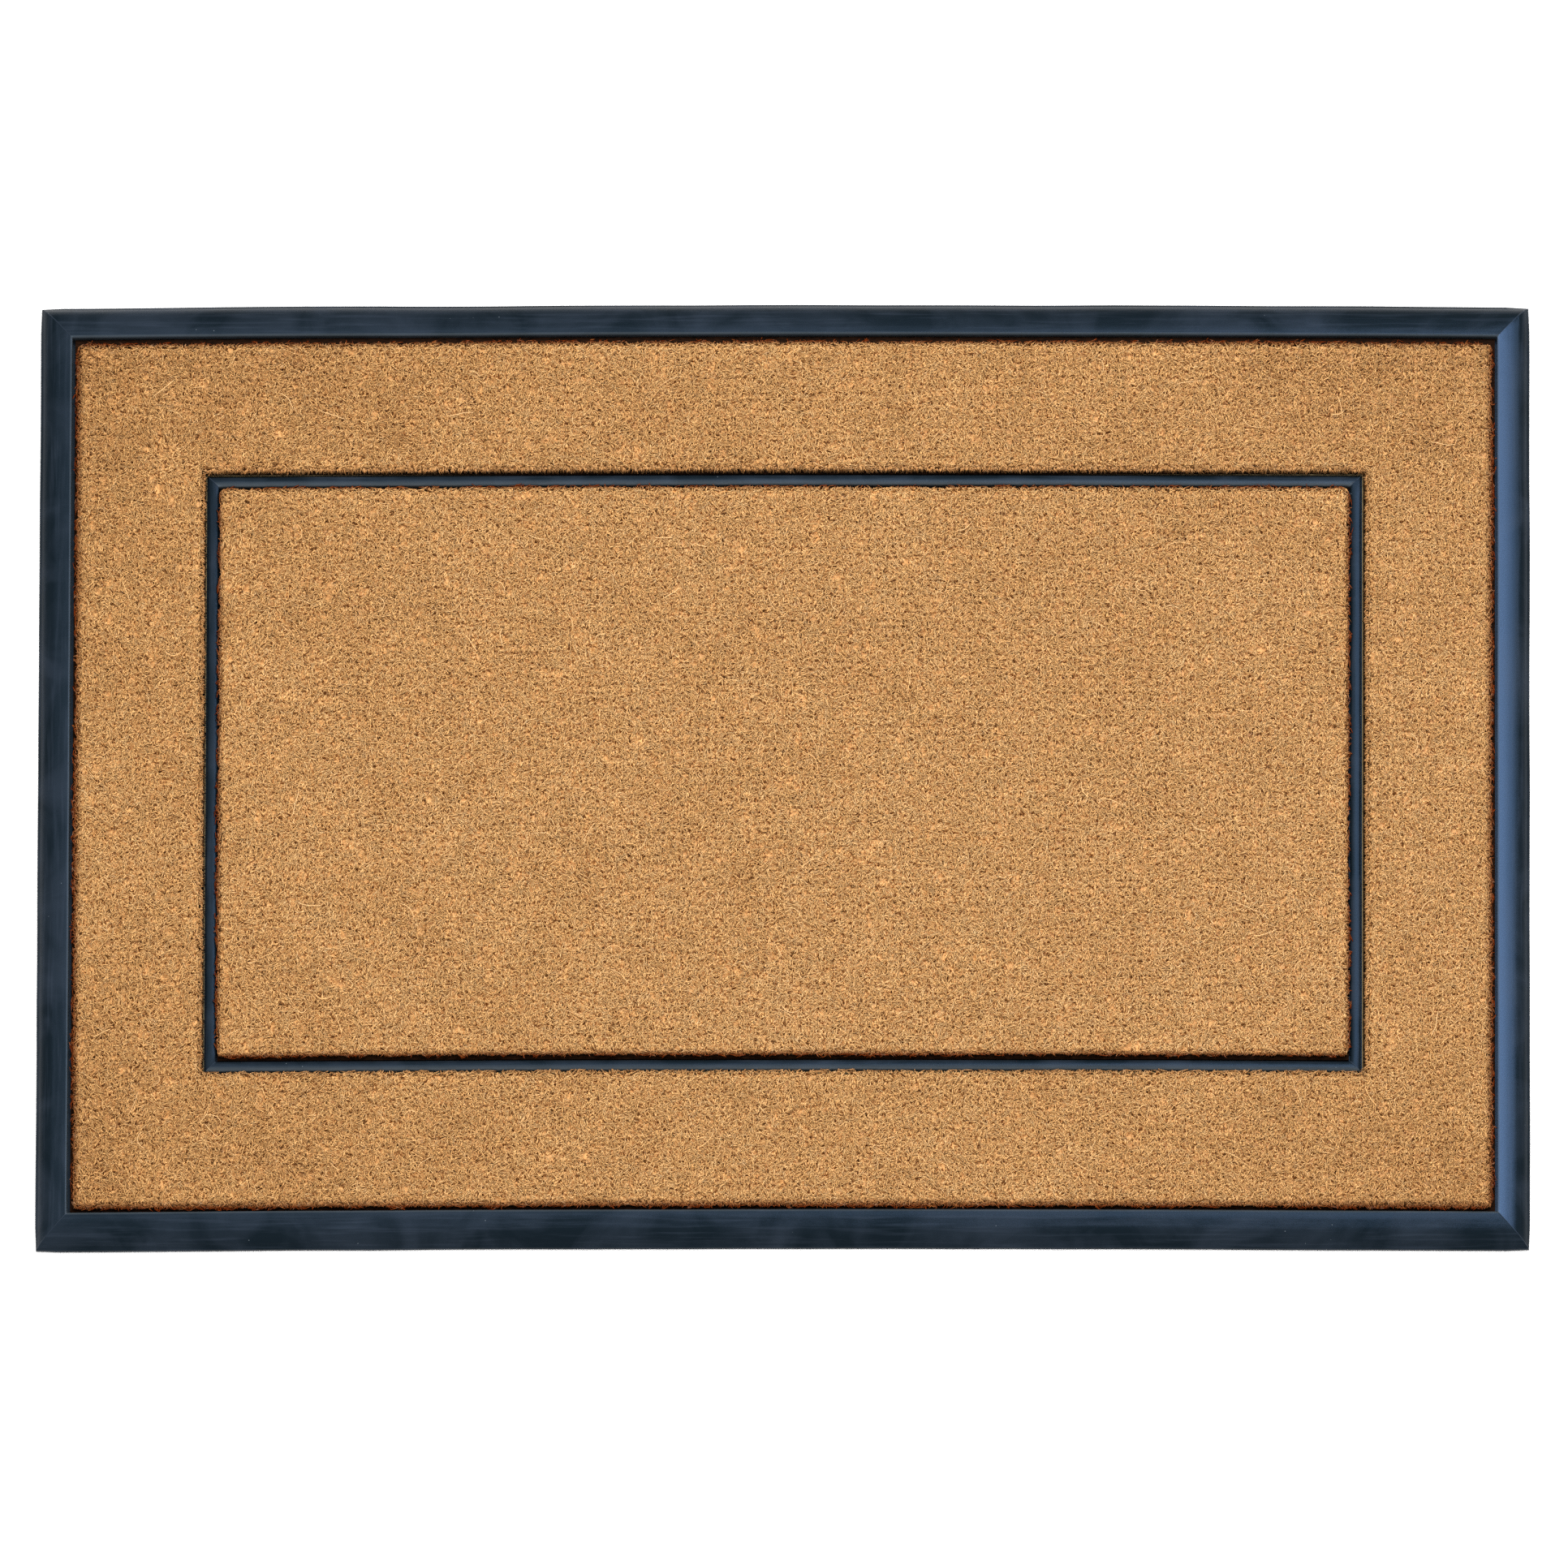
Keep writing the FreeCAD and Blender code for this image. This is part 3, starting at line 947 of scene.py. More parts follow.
    def dress(self) -> None:
        """Build the tray and finish it in rubber."""
        plan = self.plan
        finish = RubberFinish(
            border_corner=plan.outline.x - plan.outline.y,
            rib_corner=plan.rib_outer.x - plan.rib_outer.y,
            rib_reach=(plan.rib_outer.x + 2 * MM, plan.rib_outer.y + 2 * MM),
            rib_middle=(plan.rib_outer.y + plan.rib_inner.y) / 2,
            recess=(plan.recess.x, plan.recess.y),
        )
        Bench.dress(self.build(), finish.material(), "rubber", ["rubber_tray"])


@dataclass
class GroundCloth:
    """The woven cloth under one inlay, as a sheet with the relief of a plain weave."""

    plan: MatPlan
    pitch: float = 10.4 * MM
    relief: float = 0.35 * MM
    edge_gap: float = 0.8 * MM
    end_reach: float = 1.2 * MM

    def build(self, name: str, outer: Rect, hole: Rect | None) -> bpy.types.Object:
        """Weave one cloth.

        Args:
            name: The piece's name.
            outer: Half sizes of the cloth.
            hole: Half sizes of the opening that the rib stands in, if it has one.

        Returns:
            The cloth, a closed sheet lying on its back coat.
        """
        thickness = self.plan.pile_bottom - self.plan.cloth_bottom - 0.1 * MM
        xs = self.lines(outer.x, hole.x if hole else None)
        ys = self.lines(outer.y, hole.y if hole else None)
        Bench.clear()
        shape = bmesh.new()
        grid = {}
        for i, x in enumerate(xs):
            for j, y in enumerate(ys):
                lift = self.relief * (0.5 if (i + j) % 2 else -0.5)
                height = self.plan.cloth_bottom + thickness - self.relief / 2 + lift
                grid[i, j] = shape.verts.new((x, y, height))
        for i in range(len(xs) - 1):
            for j in range(len(ys) - 1):
                middle = Vector(((xs[i] + xs[i + 1]) / 2, (ys[j] + ys[j + 1]) / 2))
                if hole and abs(middle.x) < hole.x and abs(middle.y) < hole.y:
                    continue
                shape.faces.new((grid[i, j], grid[i + 1, j], grid[i + 1, j + 1], grid[i, j + 1]))
        loose = [point for point in shape.verts if not point.link_faces]
        bmesh.ops.delete(shape, geom=loose, context="VERTS")
        mesh = bpy.data.meshes.new(name)
        shape.to_mesh(mesh)
        shape.free()
        cloth = bpy.data.objects.new(name, mesh)
        bpy.context.scene.collection.objects.link(cloth)
        solid = cloth.modifiers.new("thickness", "SOLIDIFY")
        solid.thickness = thickness - self.relief
        solid.offset = -1.0
        bpy.context.view_layer.objects.active = cloth
        cloth.select_set(True)
        bpy.ops.object.modifier_apply(modifier=solid.name)
        self.plan.bend(cloth)
        return cloth

    def lines(self, half: float, hole: float | None) -> list[float]:
        """Return evenly spaced places from -half to half that include the hole's edges.

        Args:
            half: Half the cloth's size.
            hole: Half the hole's size, if there is one.

        Returns:
            The places in order.
        """
        stops = [-half, half] if hole is None else [-half, -hole, hole, half]
        places = [stops[0]]
        for low, high in zip(stops, stops[1:]):
            count = max(1, round((high - low) / self.pitch))
            places += [low + (high - low) * number / count for number in range(1, count + 1)]
        return places

    def dress(self, piles: dict[str, list[bpy.types.Object]]) -> None:
        """Args:
            piles: The pieces of pile on each inlay; not used.
        """
        finish = YarnClothFinish(rib=(self.plan.rib_outer.x, self.plan.rib_outer.y)).material()
        outer = Rect(self.plan.recess.x + self.end_reach, self.plan.recess.y - self.edge_gap)
        hole = self.plan.rib_outer.grown(self.edge_gap)
        centre = self.plan.rib_inner.grown(-self.edge_gap)
        for name, size, opening in (("border_inlay", outer, hole), ("centre_inlay", centre, None)):
            cloth = self.build(name + "_cloth", size, opening)
            Bench.dress(cloth, finish, "coir_yarn", [name + "_weft", name + "_warp"])


# ---------------------------------------------------------------------------------------
# Pile
# ---------------------------------------------------------------------------------------


@dataclass
class Strands:
    """Triangles of coir, with a tone and a grain number at each point.

    Lines of equal grain run along a fibre, so that a broad one looks like a bundle of fine ones.
    """

    points: np.ndarray
    faces: np.ndarray
    tone: np.ndarray
    grain: np.ndarray

    @staticmethod
    def joined(parts: Sequence["Strands"]) -> "Strands":
        """Return all the parts as one set of triangles.

        Args:
            parts: The sets to join, in order.

        Returns:
            The joined set.
        """
        starts = np.cumsum([0] + [len(part.points) for part in parts[:-1]])
        return Strands(
            np.concatenate([part.points for part in parts]),
            np.concatenate([part.faces + start for part, start in zip(parts, starts)]),
            np.concatenate([part.tone for part in parts]),
            np.concatenate([part.grain for part in parts]),
        )

    def piece(self, name: str, edge: np.ndarray) -> bpy.types.Object:
        """Make the triangles into one piece that carries tone, grain and edge.

        Args:
            name: The piece's name.
            edge: How much painted shade of a free edge each point gets, from 0 to 1.

        Returns:
            The piece.
        """
        piece = Bench.new_mesh(name, self.points, self.faces)
        layers = (("tone", self.tone.clip(0.0, 1.0)), ("grain", self.grain), ("edge", edge))
        for label, values in layers:
            layer = piece.data.attributes.new(label, "FLOAT", "POINT")
            layer.data.foreach_set("value", values.astype(np.float32))
        return piece


@dataclass(frozen=True)
class Gaps:
    """How far the top of the pile stands back from the rubber on each of its free edges."""

    west: float
    east: float
    south: float
    north: float


@dataclass
class TuftField:
    """A regular field of tufts, one to a cell, with or without an opening for the rib.

    Args:
        xs: Cell edges along X, in up to three bands.
        ys: Cell edges along Y, in up to three bands.
        hole: Half sizes of the opening's cells as column and row ranges, or None.
    """

    xs: np.ndarray
    ys: np.ndarray
    hole: tuple[int, int, int, int] | None = None

    @staticmethod
    def divided(stops: Sequence[float], pitch: float) -> tuple[np.ndarray, list[int]]:
        """Divide the bands between stops into cells of about one pitch.

        Args:
            stops: The bands' ends, in order.
            pitch: The cells' size.

        Returns:
            The cell edges and the number of the edge at each stop.
        """
        edges, marks = [stops[0]], [0]
        for low, high in zip(stops, stops[1:]):
            count = round((high - low) / pitch)
            edges += list(np.linspace(low, high, count + 1)[1:])
            marks.append(len(edges) - 1)
        return np.array(edges), marks

    @classmethod
    def ring(cls, plan: MatPlan, outer: Gaps, inner: Gaps, pitch: float) -> "TuftField":
        """Lay out the ring round the rib.

        Args:
            plan: The mat's levels and outlines.
            outer: Set-backs from the border.
            inner: Set-backs from the rib.
            pitch: The cells' size.

        Returns:
            The ring's field.
        """
        xs, x_marks = cls.divided((
            -plan.recess.x + outer.west, -plan.rib_outer.x - inner.west,
            plan.rib_outer.x + inner.east, plan.recess.x - outer.east,
        ), pitch)
        ys, y_marks = cls.divided((
            -plan.recess.y + outer.south, -plan.rib_outer.y - inner.south,
            plan.rib_outer.y + inner.north, plan.recess.y - outer.north,
        ), pitch)
        return cls(xs, ys, (x_marks[1], x_marks[2], y_marks[1], y_marks[2]))

    @classmethod
    def centre(cls, plan: MatPlan, gaps: Gaps, pitch: float) -> "TuftField":
        """Lay out the centre field inside the rib.

        Args:
            plan: The mat's levels and outlines.
            gaps: Set-backs from the rib.
            pitch: The cells' size.

        Returns:
            The centre's field.
        """
        xs, _ = cls.divided((-plan.rib_inner.x + gaps.west, plan.rib_inner.x - gaps.east), pitch)
        ys, _ = cls.divided((-plan.rib_inner.y + gaps.south, plan.rib_inner.y - gaps.north), pitch)
        return cls(xs, ys)

    def filled(self) -> np.ndarray:
        """Return a grid that is true where a cell has a tuft.

        Returns:
            The grid, by column and row.
        """
        cells = np.ones((len(self.xs) - 1, len(self.ys) - 1), dtype=bool)
        if self.hole:
            left, right, near, far = self.hole
            cells[left:right, near:far] = False
        return cells

    def middles(self) -> tuple[np.ndarray, np.ndarray]:
        """Return grids of the cells' middles along X and Y.

        Returns:
            The two grids, by column and row.
        """
        x = (self.xs[1:] + self.xs[:-1]) / 2
        y = (self.ys[1:] + self.ys[:-1]) / 2
        return np.meshgrid(x, y, indexing="ij")


@dataclass
class CoirPile:
    """Tufts of cut coir fibre brushed over into a close fluffy field.

    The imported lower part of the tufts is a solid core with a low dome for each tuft. Loose fibres
    cover its top and its free walls, each one made of one or two closed four-sided slivers. The
    breadths are fibre widths as shares of the usual one.
    """

    plan: MatPlan
    pitch: float = 5.2 * MM
    under_fibres: int = 4
    short_fibres: int = 4
    bent_fibres: int = 8
    wall_fibres: int = 14
    under_breadth: float = 1.7
    short_breadth: float = 0.9
    bent_breadth: float = 0.95
    wall_breadth: float = 1.2
    fibre_width: float = 0.58 * MM
    twist: float = math.radians(20)
    dome: float = 1.7 * MM
    core_top: float = 3.7 * MM
    core_dip: float = 0.7 * MM
    core_tone: float = 0.33
    tuft_tone: float = 0.625
    wall_tone: float = 0.48
    hair_tone: float = 0.86
    ring_outer: Gaps = Gaps(-0.1 * MM, 0.3 * MM, 1.8 * MM, 5.4 * MM)
    ring_inner: Gaps = Gaps(2.6 * MM, 3.3 * MM, 1.8 * MM, 2.4 * MM)
    centre_edge: Gaps = Gaps(0.3 * MM, 0.5 * MM, 2.2 * MM, 2.3 * MM)
    outer_shade: float = 4.6 * MM
    far_crispness: float = 1.8
    rib_shade: float = 2.6 * MM
    flare: float = 2.1 * MM
    overhang: float = 0.25
    edge_wander: float = 1.5 * MM
    edge_softness: float = 6.0 * MM
    edge_fall: float = 1.5 * MM
    corner_radius: float = 5.5 * MM
    hair_share: float = 0.016
    hair_margin: float = 22.0 * MM
    seed: int = SEED

    def ring_groups(self, field: TuftField) -> dict[tuple[str, str], np.ndarray]:
        """Share the ring's cells out among its pieces, which meet on the corners' diagonals.

        Args:
            field: The ring's field.

        Returns:
            Each piece's cells, by its name and the CAD node that it stands for.
        """
        x, y = field.middles()
        over_x = (np.abs(x) - self.plan.rib_outer.x) / (self.plan.recess.x - self.plan.rib_outer.x)
        over_y = (np.abs(y) - self.plan.rib_outer.y) / (self.plan.recess.y - self.plan.rib_outer.y)
        lengthwise, filled = over_y >= over_x, field.filled()
        groups = {}
        for side, on_side in ((Side.NORTH, y > 0), (Side.SOUTH, y < 0)):
            node = "border_pile_" + side.value
            groups[node + "_left", node] = filled & lengthwise & on_side & (x < 0)
            groups[node + "_right", node] = filled & lengthwise & on_side & (x >= 0)
        for side, on_side in ((Side.EAST, x > 0), (Side.WEST, x < 0)):
            node = "border_pile_" + side.value
            groups[node + "_tufts", node] = filled & ~lengthwise & on_side
        return groups

    def centre_groups(self, field: TuftField) -> dict[tuple[str, str], np.ndarray]:
        """Share the centre field's cells out among six pieces.

        Args:
            field: The centre's field.

        Returns:
            Each piece's cells, by its name and the CAD node that it stands for.
        """
        x, y = field.middles()
        third = self.plan.rib_inner.x / 3
        groups = {}
        for row, in_row in (("near", y < 0), ("far", y >= 0)):
            for column, in_column in (
                ("left", x < -third), ("middle", np.abs(x) <= third), ("right", x > third),
            ):
                groups["centre_pile_%s_%s" % (row, column), "centre_pile"] = in_row & in_column
        return groups

    def core(self, field: TuftField, cells: np.ndarray, rng: np.random.Generator) -> Strands:
        """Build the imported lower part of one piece's tufts.

        Args:
            field: The field that the piece belongs to.
            cells: Which of its cells the piece has.
            rng: The source of every random choice.

        Returns:
            The core as closed triangles.
        """
        xs, ys = self.halved(field.xs), self.halved(field.ys)
        filled = field.filled()
        shape, grid = bmesh.new(), {}
        for i, j in np.argwhere(cells):
            for a, b in ((0, 0), (1, 0), (0, 1), (1, 1)):
                square = ((0, 0), (1, 0), (1, 1), (0, 1))
                corners = [(2 * i + a + p, 2 * j + b + q) for p, q in square]
                for key in corners:
                    if key not in grid:
                        grid[key] = shape.verts.new(self.core_point(key, xs, ys, filled))
                shape.faces.new([grid[key] for key in corners])
        rim = [edge for edge in shape.edges if edge.is_boundary]
        walls = bmesh.ops.extrude_edge_only(shape, edges=rim)["geom"]
        for point in walls:
            if isinstance(point, bmesh.types.BMVert):
                point.co.z = self.plan.pile_bottom - 0.1 * MM
        lowest = [
            edge for edge in walls if isinstance(edge, bmesh.types.BMEdge) and edge.is_boundary
        ]
        bmesh.ops.edgeloop_fill(shape, edges=lowest)
        bmesh.ops.recalc_face_normals(shape, faces=shape.faces)
        bmesh.ops.triangulate(shape, faces=shape.faces)
        shape.verts.index_update()
        points = np.array([point.co for point in shape.verts])
        faces = np.array([[point.index for point in face.verts] for face in shape.faces])
        shape.free()
        count = len(points)
        tone = rng.normal(self.core_tone, 0.05, count)
        return Strands(points, faces, tone, rng.uniform(-2.2 * MM, 2.2 * MM, count))

    @staticmethod
    def halved(edges: np.ndarray) -> np.ndarray:
        """Return cell edges with the cells' middles between them.

        Args:
            edges: The cell edges.

        Returns:
            The edges and middles in order.
        """
        both = np.empty(2 * len(edges) - 1)
        both[0::2] = edges
        both[1::2] = (edges[1:] + edges[:-1]) / 2
        return both

    def core_point(self, key: tuple[int, int], xs: np.ndarray, ys: np.ndarray,
                   filled: np.ndarray) -> Vector:
        """Return the place of one point on the core's top.

        Points on a free edge stand back and low, and the others rise to a dome in each cell.

        Args:
            key: The point's column and row on the halved grid.
            xs: The halved grid's places along X.
            ys: The halved grid's places along Y.
            filled: Which cells have a tuft.

        Returns:
            The point's place.
        """
        i, j = key
        place = Vector((xs[i], ys[j], 0.0))
        inward = Vector((0.0, 0.0, 0.0))
        for p in {(i - 1) // 2, i // 2}:
            for q in {(j - 1) // 2, j // 2}:
                in_field = 0 <= p < filled.shape[0] and 0 <= q < filled.shape[1]
                if not (in_field and filled[p, q]):
                    inward -= Vector((2 * p + 1 - i, 2 * q + 1 - j, 0.0))
        drift = noise.noise_vector(place * 230.0 + Vector((0.0, 0.0, 9.0)))
        low = self.core_dip * (0.5 * (i % 2 == 0) + 0.5 * (j % 2 == 0))
        place.z = self.plan.pile_top - self.core_top - low + drift.z * 0.5 * MM
        if inward.length > 0.0:
            return place + inward.normalized() * 1.7 * MM - Vector((0.0, 0.0, 1.0 * MM))
        return place + Vector((drift.x, drift.y, 0.0)) * 0.9 * MM

    def settled(self, field: TuftField, flat: np.ndarray) -> np.ndarray:
        """Move places near the pile's free edges so that the edges wander and the corners round.

        Args:
            field: The field that the places belong to.
            flat: Places as X and Y in the last axis.

        Returns:
            The moved places.
        """
        flat = flat.copy()
        for axis, edges in ((0, field.xs), (1, field.ys)):
            along = flat[..., 1 - axis]
            for number, (edge, way) in enumerate(((edges[0], 1), (edges[-1], -1))):
                depth = (flat[..., axis] - edge) * way
                flat[..., axis] += way * self.drift(along, 2 * axis + number, depth)
        if field.hole:
            left, right, near, far = field.hole
            low = np.array([field.xs[left], field.ys[near]])
            high = np.array([field.xs[right], field.ys[far]])
            for axis in (0, 1):
                along = flat[..., 1 - axis]
                beside = (along > low[1 - axis]) & (along < high[1 - axis])
                for number, (edge, way) in enumerate(((low[axis], -1), (high[axis], 1))):
                    depth = (flat[..., axis] - edge) * way
                    near_edge = beside & (depth > -self.pitch)
                    moved = way * self.drift(along, 4 + 2 * axis + number, depth)
                    flat[..., axis] += np.where(near_edge, moved, 0.0)
        return self.rounded(field, flat)

    def drift(self, along: np.ndarray, number: int, depth: np.ndarray) -> np.ndarray:
        """Return how far an edge stands in at places along it, fading away from the edge.

        Args:
            along: Places along the edge.
            number: The edge's number, which sets its own pattern.
            depth: How far in from the edge each place is.

        Returns:
            The distance at each place.
        """
        slow = np.sin(along / 0.061 + 2.1 * number) + np.sin(along / 0.023 + 3.7 * number)
        fast = 0.5 * np.sin(along / 0.0013 + 1.3 * number + 2.3 * np.sin(along / 0.0173))
        fast += 0.5 * np.sin(along / 0.0037 + 0.7 * number + 1.9 * np.sin(along / 0.0291))
        amount = self.edge_wander * (0.20 + 0.16 * slow + 0.50 * fast)
        return amount * np.exp(-np.maximum(depth, 0.0) / self.edge_softness)

    def rounded(self, field: TuftField, flat: np.ndarray) -> np.ndarray:
        """Draw places in the field's outer corners in to a round.

        Args:
            field: The field that the places belong to.
            flat: Places as X and Y in the last axis.

        Returns:
            The drawn places.
        """
        middle = np.array([field.xs[0] + field.xs[-1], field.ys[0] + field.ys[-1]]) / 2
        half = np.array([field.xs[-1] - field.xs[0], field.ys[-1] - field.ys[0]]) / 2
        offset = flat - middle
        past = np.abs(offset) - (half - self.corner_radius)
        length = np.linalg.norm(past, axis=-1)
        outside = (past > 0).all(axis=-1) & (length > self.corner_radius)
        drawn = past * (self.corner_radius / np.maximum(length, 1e-9))[..., None]
        moved = middle + np.sign(offset) * (half - self.corner_radius + drawn)
        return np.where(outside[..., None], moved, flat)

    @staticmethod
    def edge_depths(field: TuftField, flat: np.ndarray) -> tuple[np.ndarray, np.ndarray]:
        """Return how far in from the field's outer edges and from its opening places are.

        Args:
            field: The field that the places belong to.
            flat: Places as X and Y in the last axis.

        Returns:
            The depth from the outer edges and the depth from the opening.
        """
        outer = np.minimum.reduce([
            flat[..., 0] - field.xs[0], field.xs[-1] - flat[..., 0],
            flat[..., 1] - field.ys[0], field.ys[-1] - flat[..., 1],
        ])
        if not field.hole:
            return outer, np.ones_like(outer)
        left, right, near, far = field.hole
        out_x = np.maximum(field.xs[left] - flat[..., 0], flat[..., 0] - field.xs[right])
        out_y = np.maximum(field.ys[near] - flat[..., 1], flat[..., 1] - field.ys[far])
        return outer, np.maximum(out_x, out_y)

    def edge_drop(self, field: TuftField, flat: np.ndarray) -> np.ndarray:
        """Return how much lower tips stand near the pile's free edges."""
        depth = np.minimum(*self.edge_depths(field, flat))
        return self.edge_fall * np.clip(1.0 - depth / self.pitch, 0.0, 1.3) ** 2

    def edge_shade(self, field: TuftField, points: np.ndarray) -> np.ndarray:
        """Return how dark points are painted towards the pile's free edges: painted shade for the gaps
        beside the rubber.

        Args:
            field: The field that the points belong to.
            points: The points' places.

        Returns:
            The shade at each point, from 0 to 1.
        """
        outer, inner = self.edge_depths(field, points[:, :2])
        far_side = field.ys[-1] - points[:, 1] < outer + 1e-9
        outer = np.where(far_side, outer * self.far_crispness, outer)
        reach = self.outer_shade if field.hole else self.rib_shade
        near_rubber = np.clip(1.0 - outer / reach, 0.0, 1.0) ** 0.9
        near_rib = 0.5 * np.clip(1.0 - inner / self.rib_shade, 0.0, 1.0) ** 0.9
        return np.maximum(near_rubber, near_rib)

    def fibres(self, field: TuftField, cells: np.ndarray,
               rng: np.random.Generator) -> list[Strands]:
        """Grow the loose fibres of one piece.

        Args:
            field: The field that the piece belongs to.
            cells: Which of its cells the piece has.
            rng: The source of every random choice.

        Returns:
            The fibres of each kind.
        """
        x, y = field.middles()
        places = np.column_stack([x[cells], y[cells]])
        brushed = np.clip(0.5 - places[:, 0] / (2 * self.plan.outline.x), 0.0, 1.0)
        lean = self.clumps(places) * (0.8 + 1.2 * brushed)[:, None] * MM
        lean += rng.normal(0, 0.35 * MM, lean.shape)
        middle = places + rng.normal(0, 1, lean.shape) * (0.22 + 0.5 * brushed)[:, None] * MM
        across = places / np.array([self.plan.outline.x, self.plan.outline.y])
        # Tufts are a little darker towards the far side, towards the left, in the corners and on the
        # ring.
        regional_darkening = 0.02 * across[:, 1] - 0.03 * across[:, 0] + 0.24 * np.abs(across).prod(axis=1) ** 2
        regional_darkening = regional_darkening + (0.035 if field.hole else 0.0)
        blotch = [noise.noise(Vector((x * 95.0, y * 95.0, 2.0))) for x, y in places]
        tone = self.tuft_tone - regional_darkening + 0.06 * np.array(blotch).reshape(-1)
        tone = tone + rng.normal(0, 0.035, len(places))
        drop = np.minimum(rng.gamma(1.5, 0.20, len(places)), 0.6) * MM
        open_field = np.minimum(*self.edge_depths(field, places)) > self.hair_margin
        return [
            self.fan(field, middle, lean * 0.15, brushed, tone - 0.07, drop + 0.8 * MM,
                     self.under_fibres, self.under_breadth, rng),
            self.fan(field, middle, lean, brushed, tone, drop,
                     self.short_fibres, self.short_breadth, rng),
            self.bent(field, middle, lean, tone, drop, rng),
            self.wall(field, cells, rng),
            self.hairs(places[open_field], rng),
        ]

    def clumps(self, places: np.ndarray) -> np.ndarray:
        """Return the way each tuft is brushed over, which drifts from place to place.

        Args:
            places: The tufts' places.

        Returns:
            The way of each tuft as X and Y.
        """
        ways = []
        for x, y in places:
            way = noise.noise_vector(Vector((x * 42.0, y * 42.0, 0.0))) * 1.2
            way += noise.noise_vector(Vector((x * 130.0, y * 130.0, 5.0))) * 1.3
            ways.append((way.x, way.y))
        return np.array(ways).reshape(-1, 2)

    def held_in(self, field: TuftField, tips: np.ndarray) -> np.ndarray:
        """Draw in tips that stand out past the pile's free edges.

        Args:
            field: The field that the tips belong to.
            tips: Places as X and Y in the last axis.

        Returns:
            The drawn tips.
        """
        tips = tips.copy()
        for axis, edges in ((0, field.xs), (1, field.ys)):
            within = np.clip(tips[..., axis], edges[0], edges[-1])
            tips[..., axis] = within + (tips[..., axis] - within) * self.overhang
        if field.hole:
            left, right, near, far = field.hole
            low = np.array([field.xs[left], field.ys[near]])
            high = np.array([field.xs[right], field.ys[far]])
            depth = np.stack([tips - low, high - tips])
            inside = (depth > 0).all(axis=(0, -1))
            nearest = depth.min(axis=0).argmin(axis=-1)
            for axis in (0, 1):
                chosen = inside & (nearest == axis)
                side = np.where(depth[0, ..., axis] < depth[1, ..., axis], low[axis], high[axis])
                drawn = side + (tips[..., axis] - side) * self.overhang
                tips[..., axis] = np.where(chosen, drawn, tips[..., axis])
        return self.settled(field, tips)

    def clear_of_rib(self, field: TuftField, start: np.ndarray, end: np.ndarray) -> np.ndarray:
        """Shorten fibres that would cut across a corner of the opening, and return their ends.

        Args:
            field: The field that the fibres belong to.
            start: The fibres' starts.
            end: The fibres' ends.

        Returns:
            The ends, nearer the start where a fibre was shortened.
        """
        crosses = self.edge_depths(field, (start + end) / 2)[1] < -0.6 * MM
        return np.where(crosses[..., None], start + (end - start) * 0.25, end)

    def fan(self, field: TuftField, middle: np.ndarray, lean: np.ndarray, brushed: np.ndarray,
            tone: np.ndarray, drop: np.ndarray, count: int, broad: float,
            rng: np.random.Generator) -> Strands:
        """Grow straight fibres that fan out over each tuft's dome.

        Args:
            field: The field that the tufts belong to.
            middle: The tufts' middles.
            lean: Which way and how far each tuft is brushed over.
            brushed: How much each tuft is ruffled, from 0 to 1.
            tone: Each tuft's tone.
            drop: How far each tuft's top is below the pile's.
            count: How many fibres a tuft gets.
            broad: The fibres' width as a share of the usual one.
            rng: The source of every random choice.

        Returns:
            The fibres.
        """
        shape = (len(middle), count)
        angle = rng.uniform(0, 2 * math.pi, (len(middle), 1)) + np.arange(count) * GOLDEN_ANGLE
        reach = np.sqrt((np.arange(count) + rng.uniform(0.1, 0.9, shape)) / count)
        if broad == self.under_breadth:
            # The broad under fibres stand only round a tuft's rim.
            reach = 0.55 + 0.45 * reach
        turn = angle + rng.normal(0, 0.5, shape)
        out = np.stack([np.cos(angle), np.sin(angle)], axis=2)
        way = np.stack([np.cos(turn), np.sin(turn)], axis=2)
        root = middle[:, None, :] + out * (reach * 1.1 * MM)[..., None]
        loose = rng.normal(0, 1, (*shape, 2)) * (0.40 + 0.55 * brushed)[:, None, None] * MM
        tip = root + way * ((0.5 + 2.4 * reach) * MM)[..., None] + lean[:, None, :] + loose
        tip, root = self.held_in(field, tip), self.settled(field, root)
        root_height = self.plan.pile_top - self.core_top - (0.3 + 0.5 * reach ** 2) * MM
        fall = self.dome * reach ** 2 * rng.uniform(0.6, 1.1, shape) + self.edge_drop(field, tip)
        height = self.plan.pile_top + 0.35 * MM - fall - drop[:, None]
        height = height - rng.gamma(1.2, 0.22, shape) * MM
        height = np.maximum(height, root_height + 0.5 * MM)
        places = [
            np.dstack([root, root_height]).reshape(-1, 3),
            np.dstack([tip, height]).reshape(-1, 3),
        ]
        tones = (tone[:, None] + rng.normal(0, 0.075, shape)).ravel()
        return self.slivers(places, tones, broad, rng)

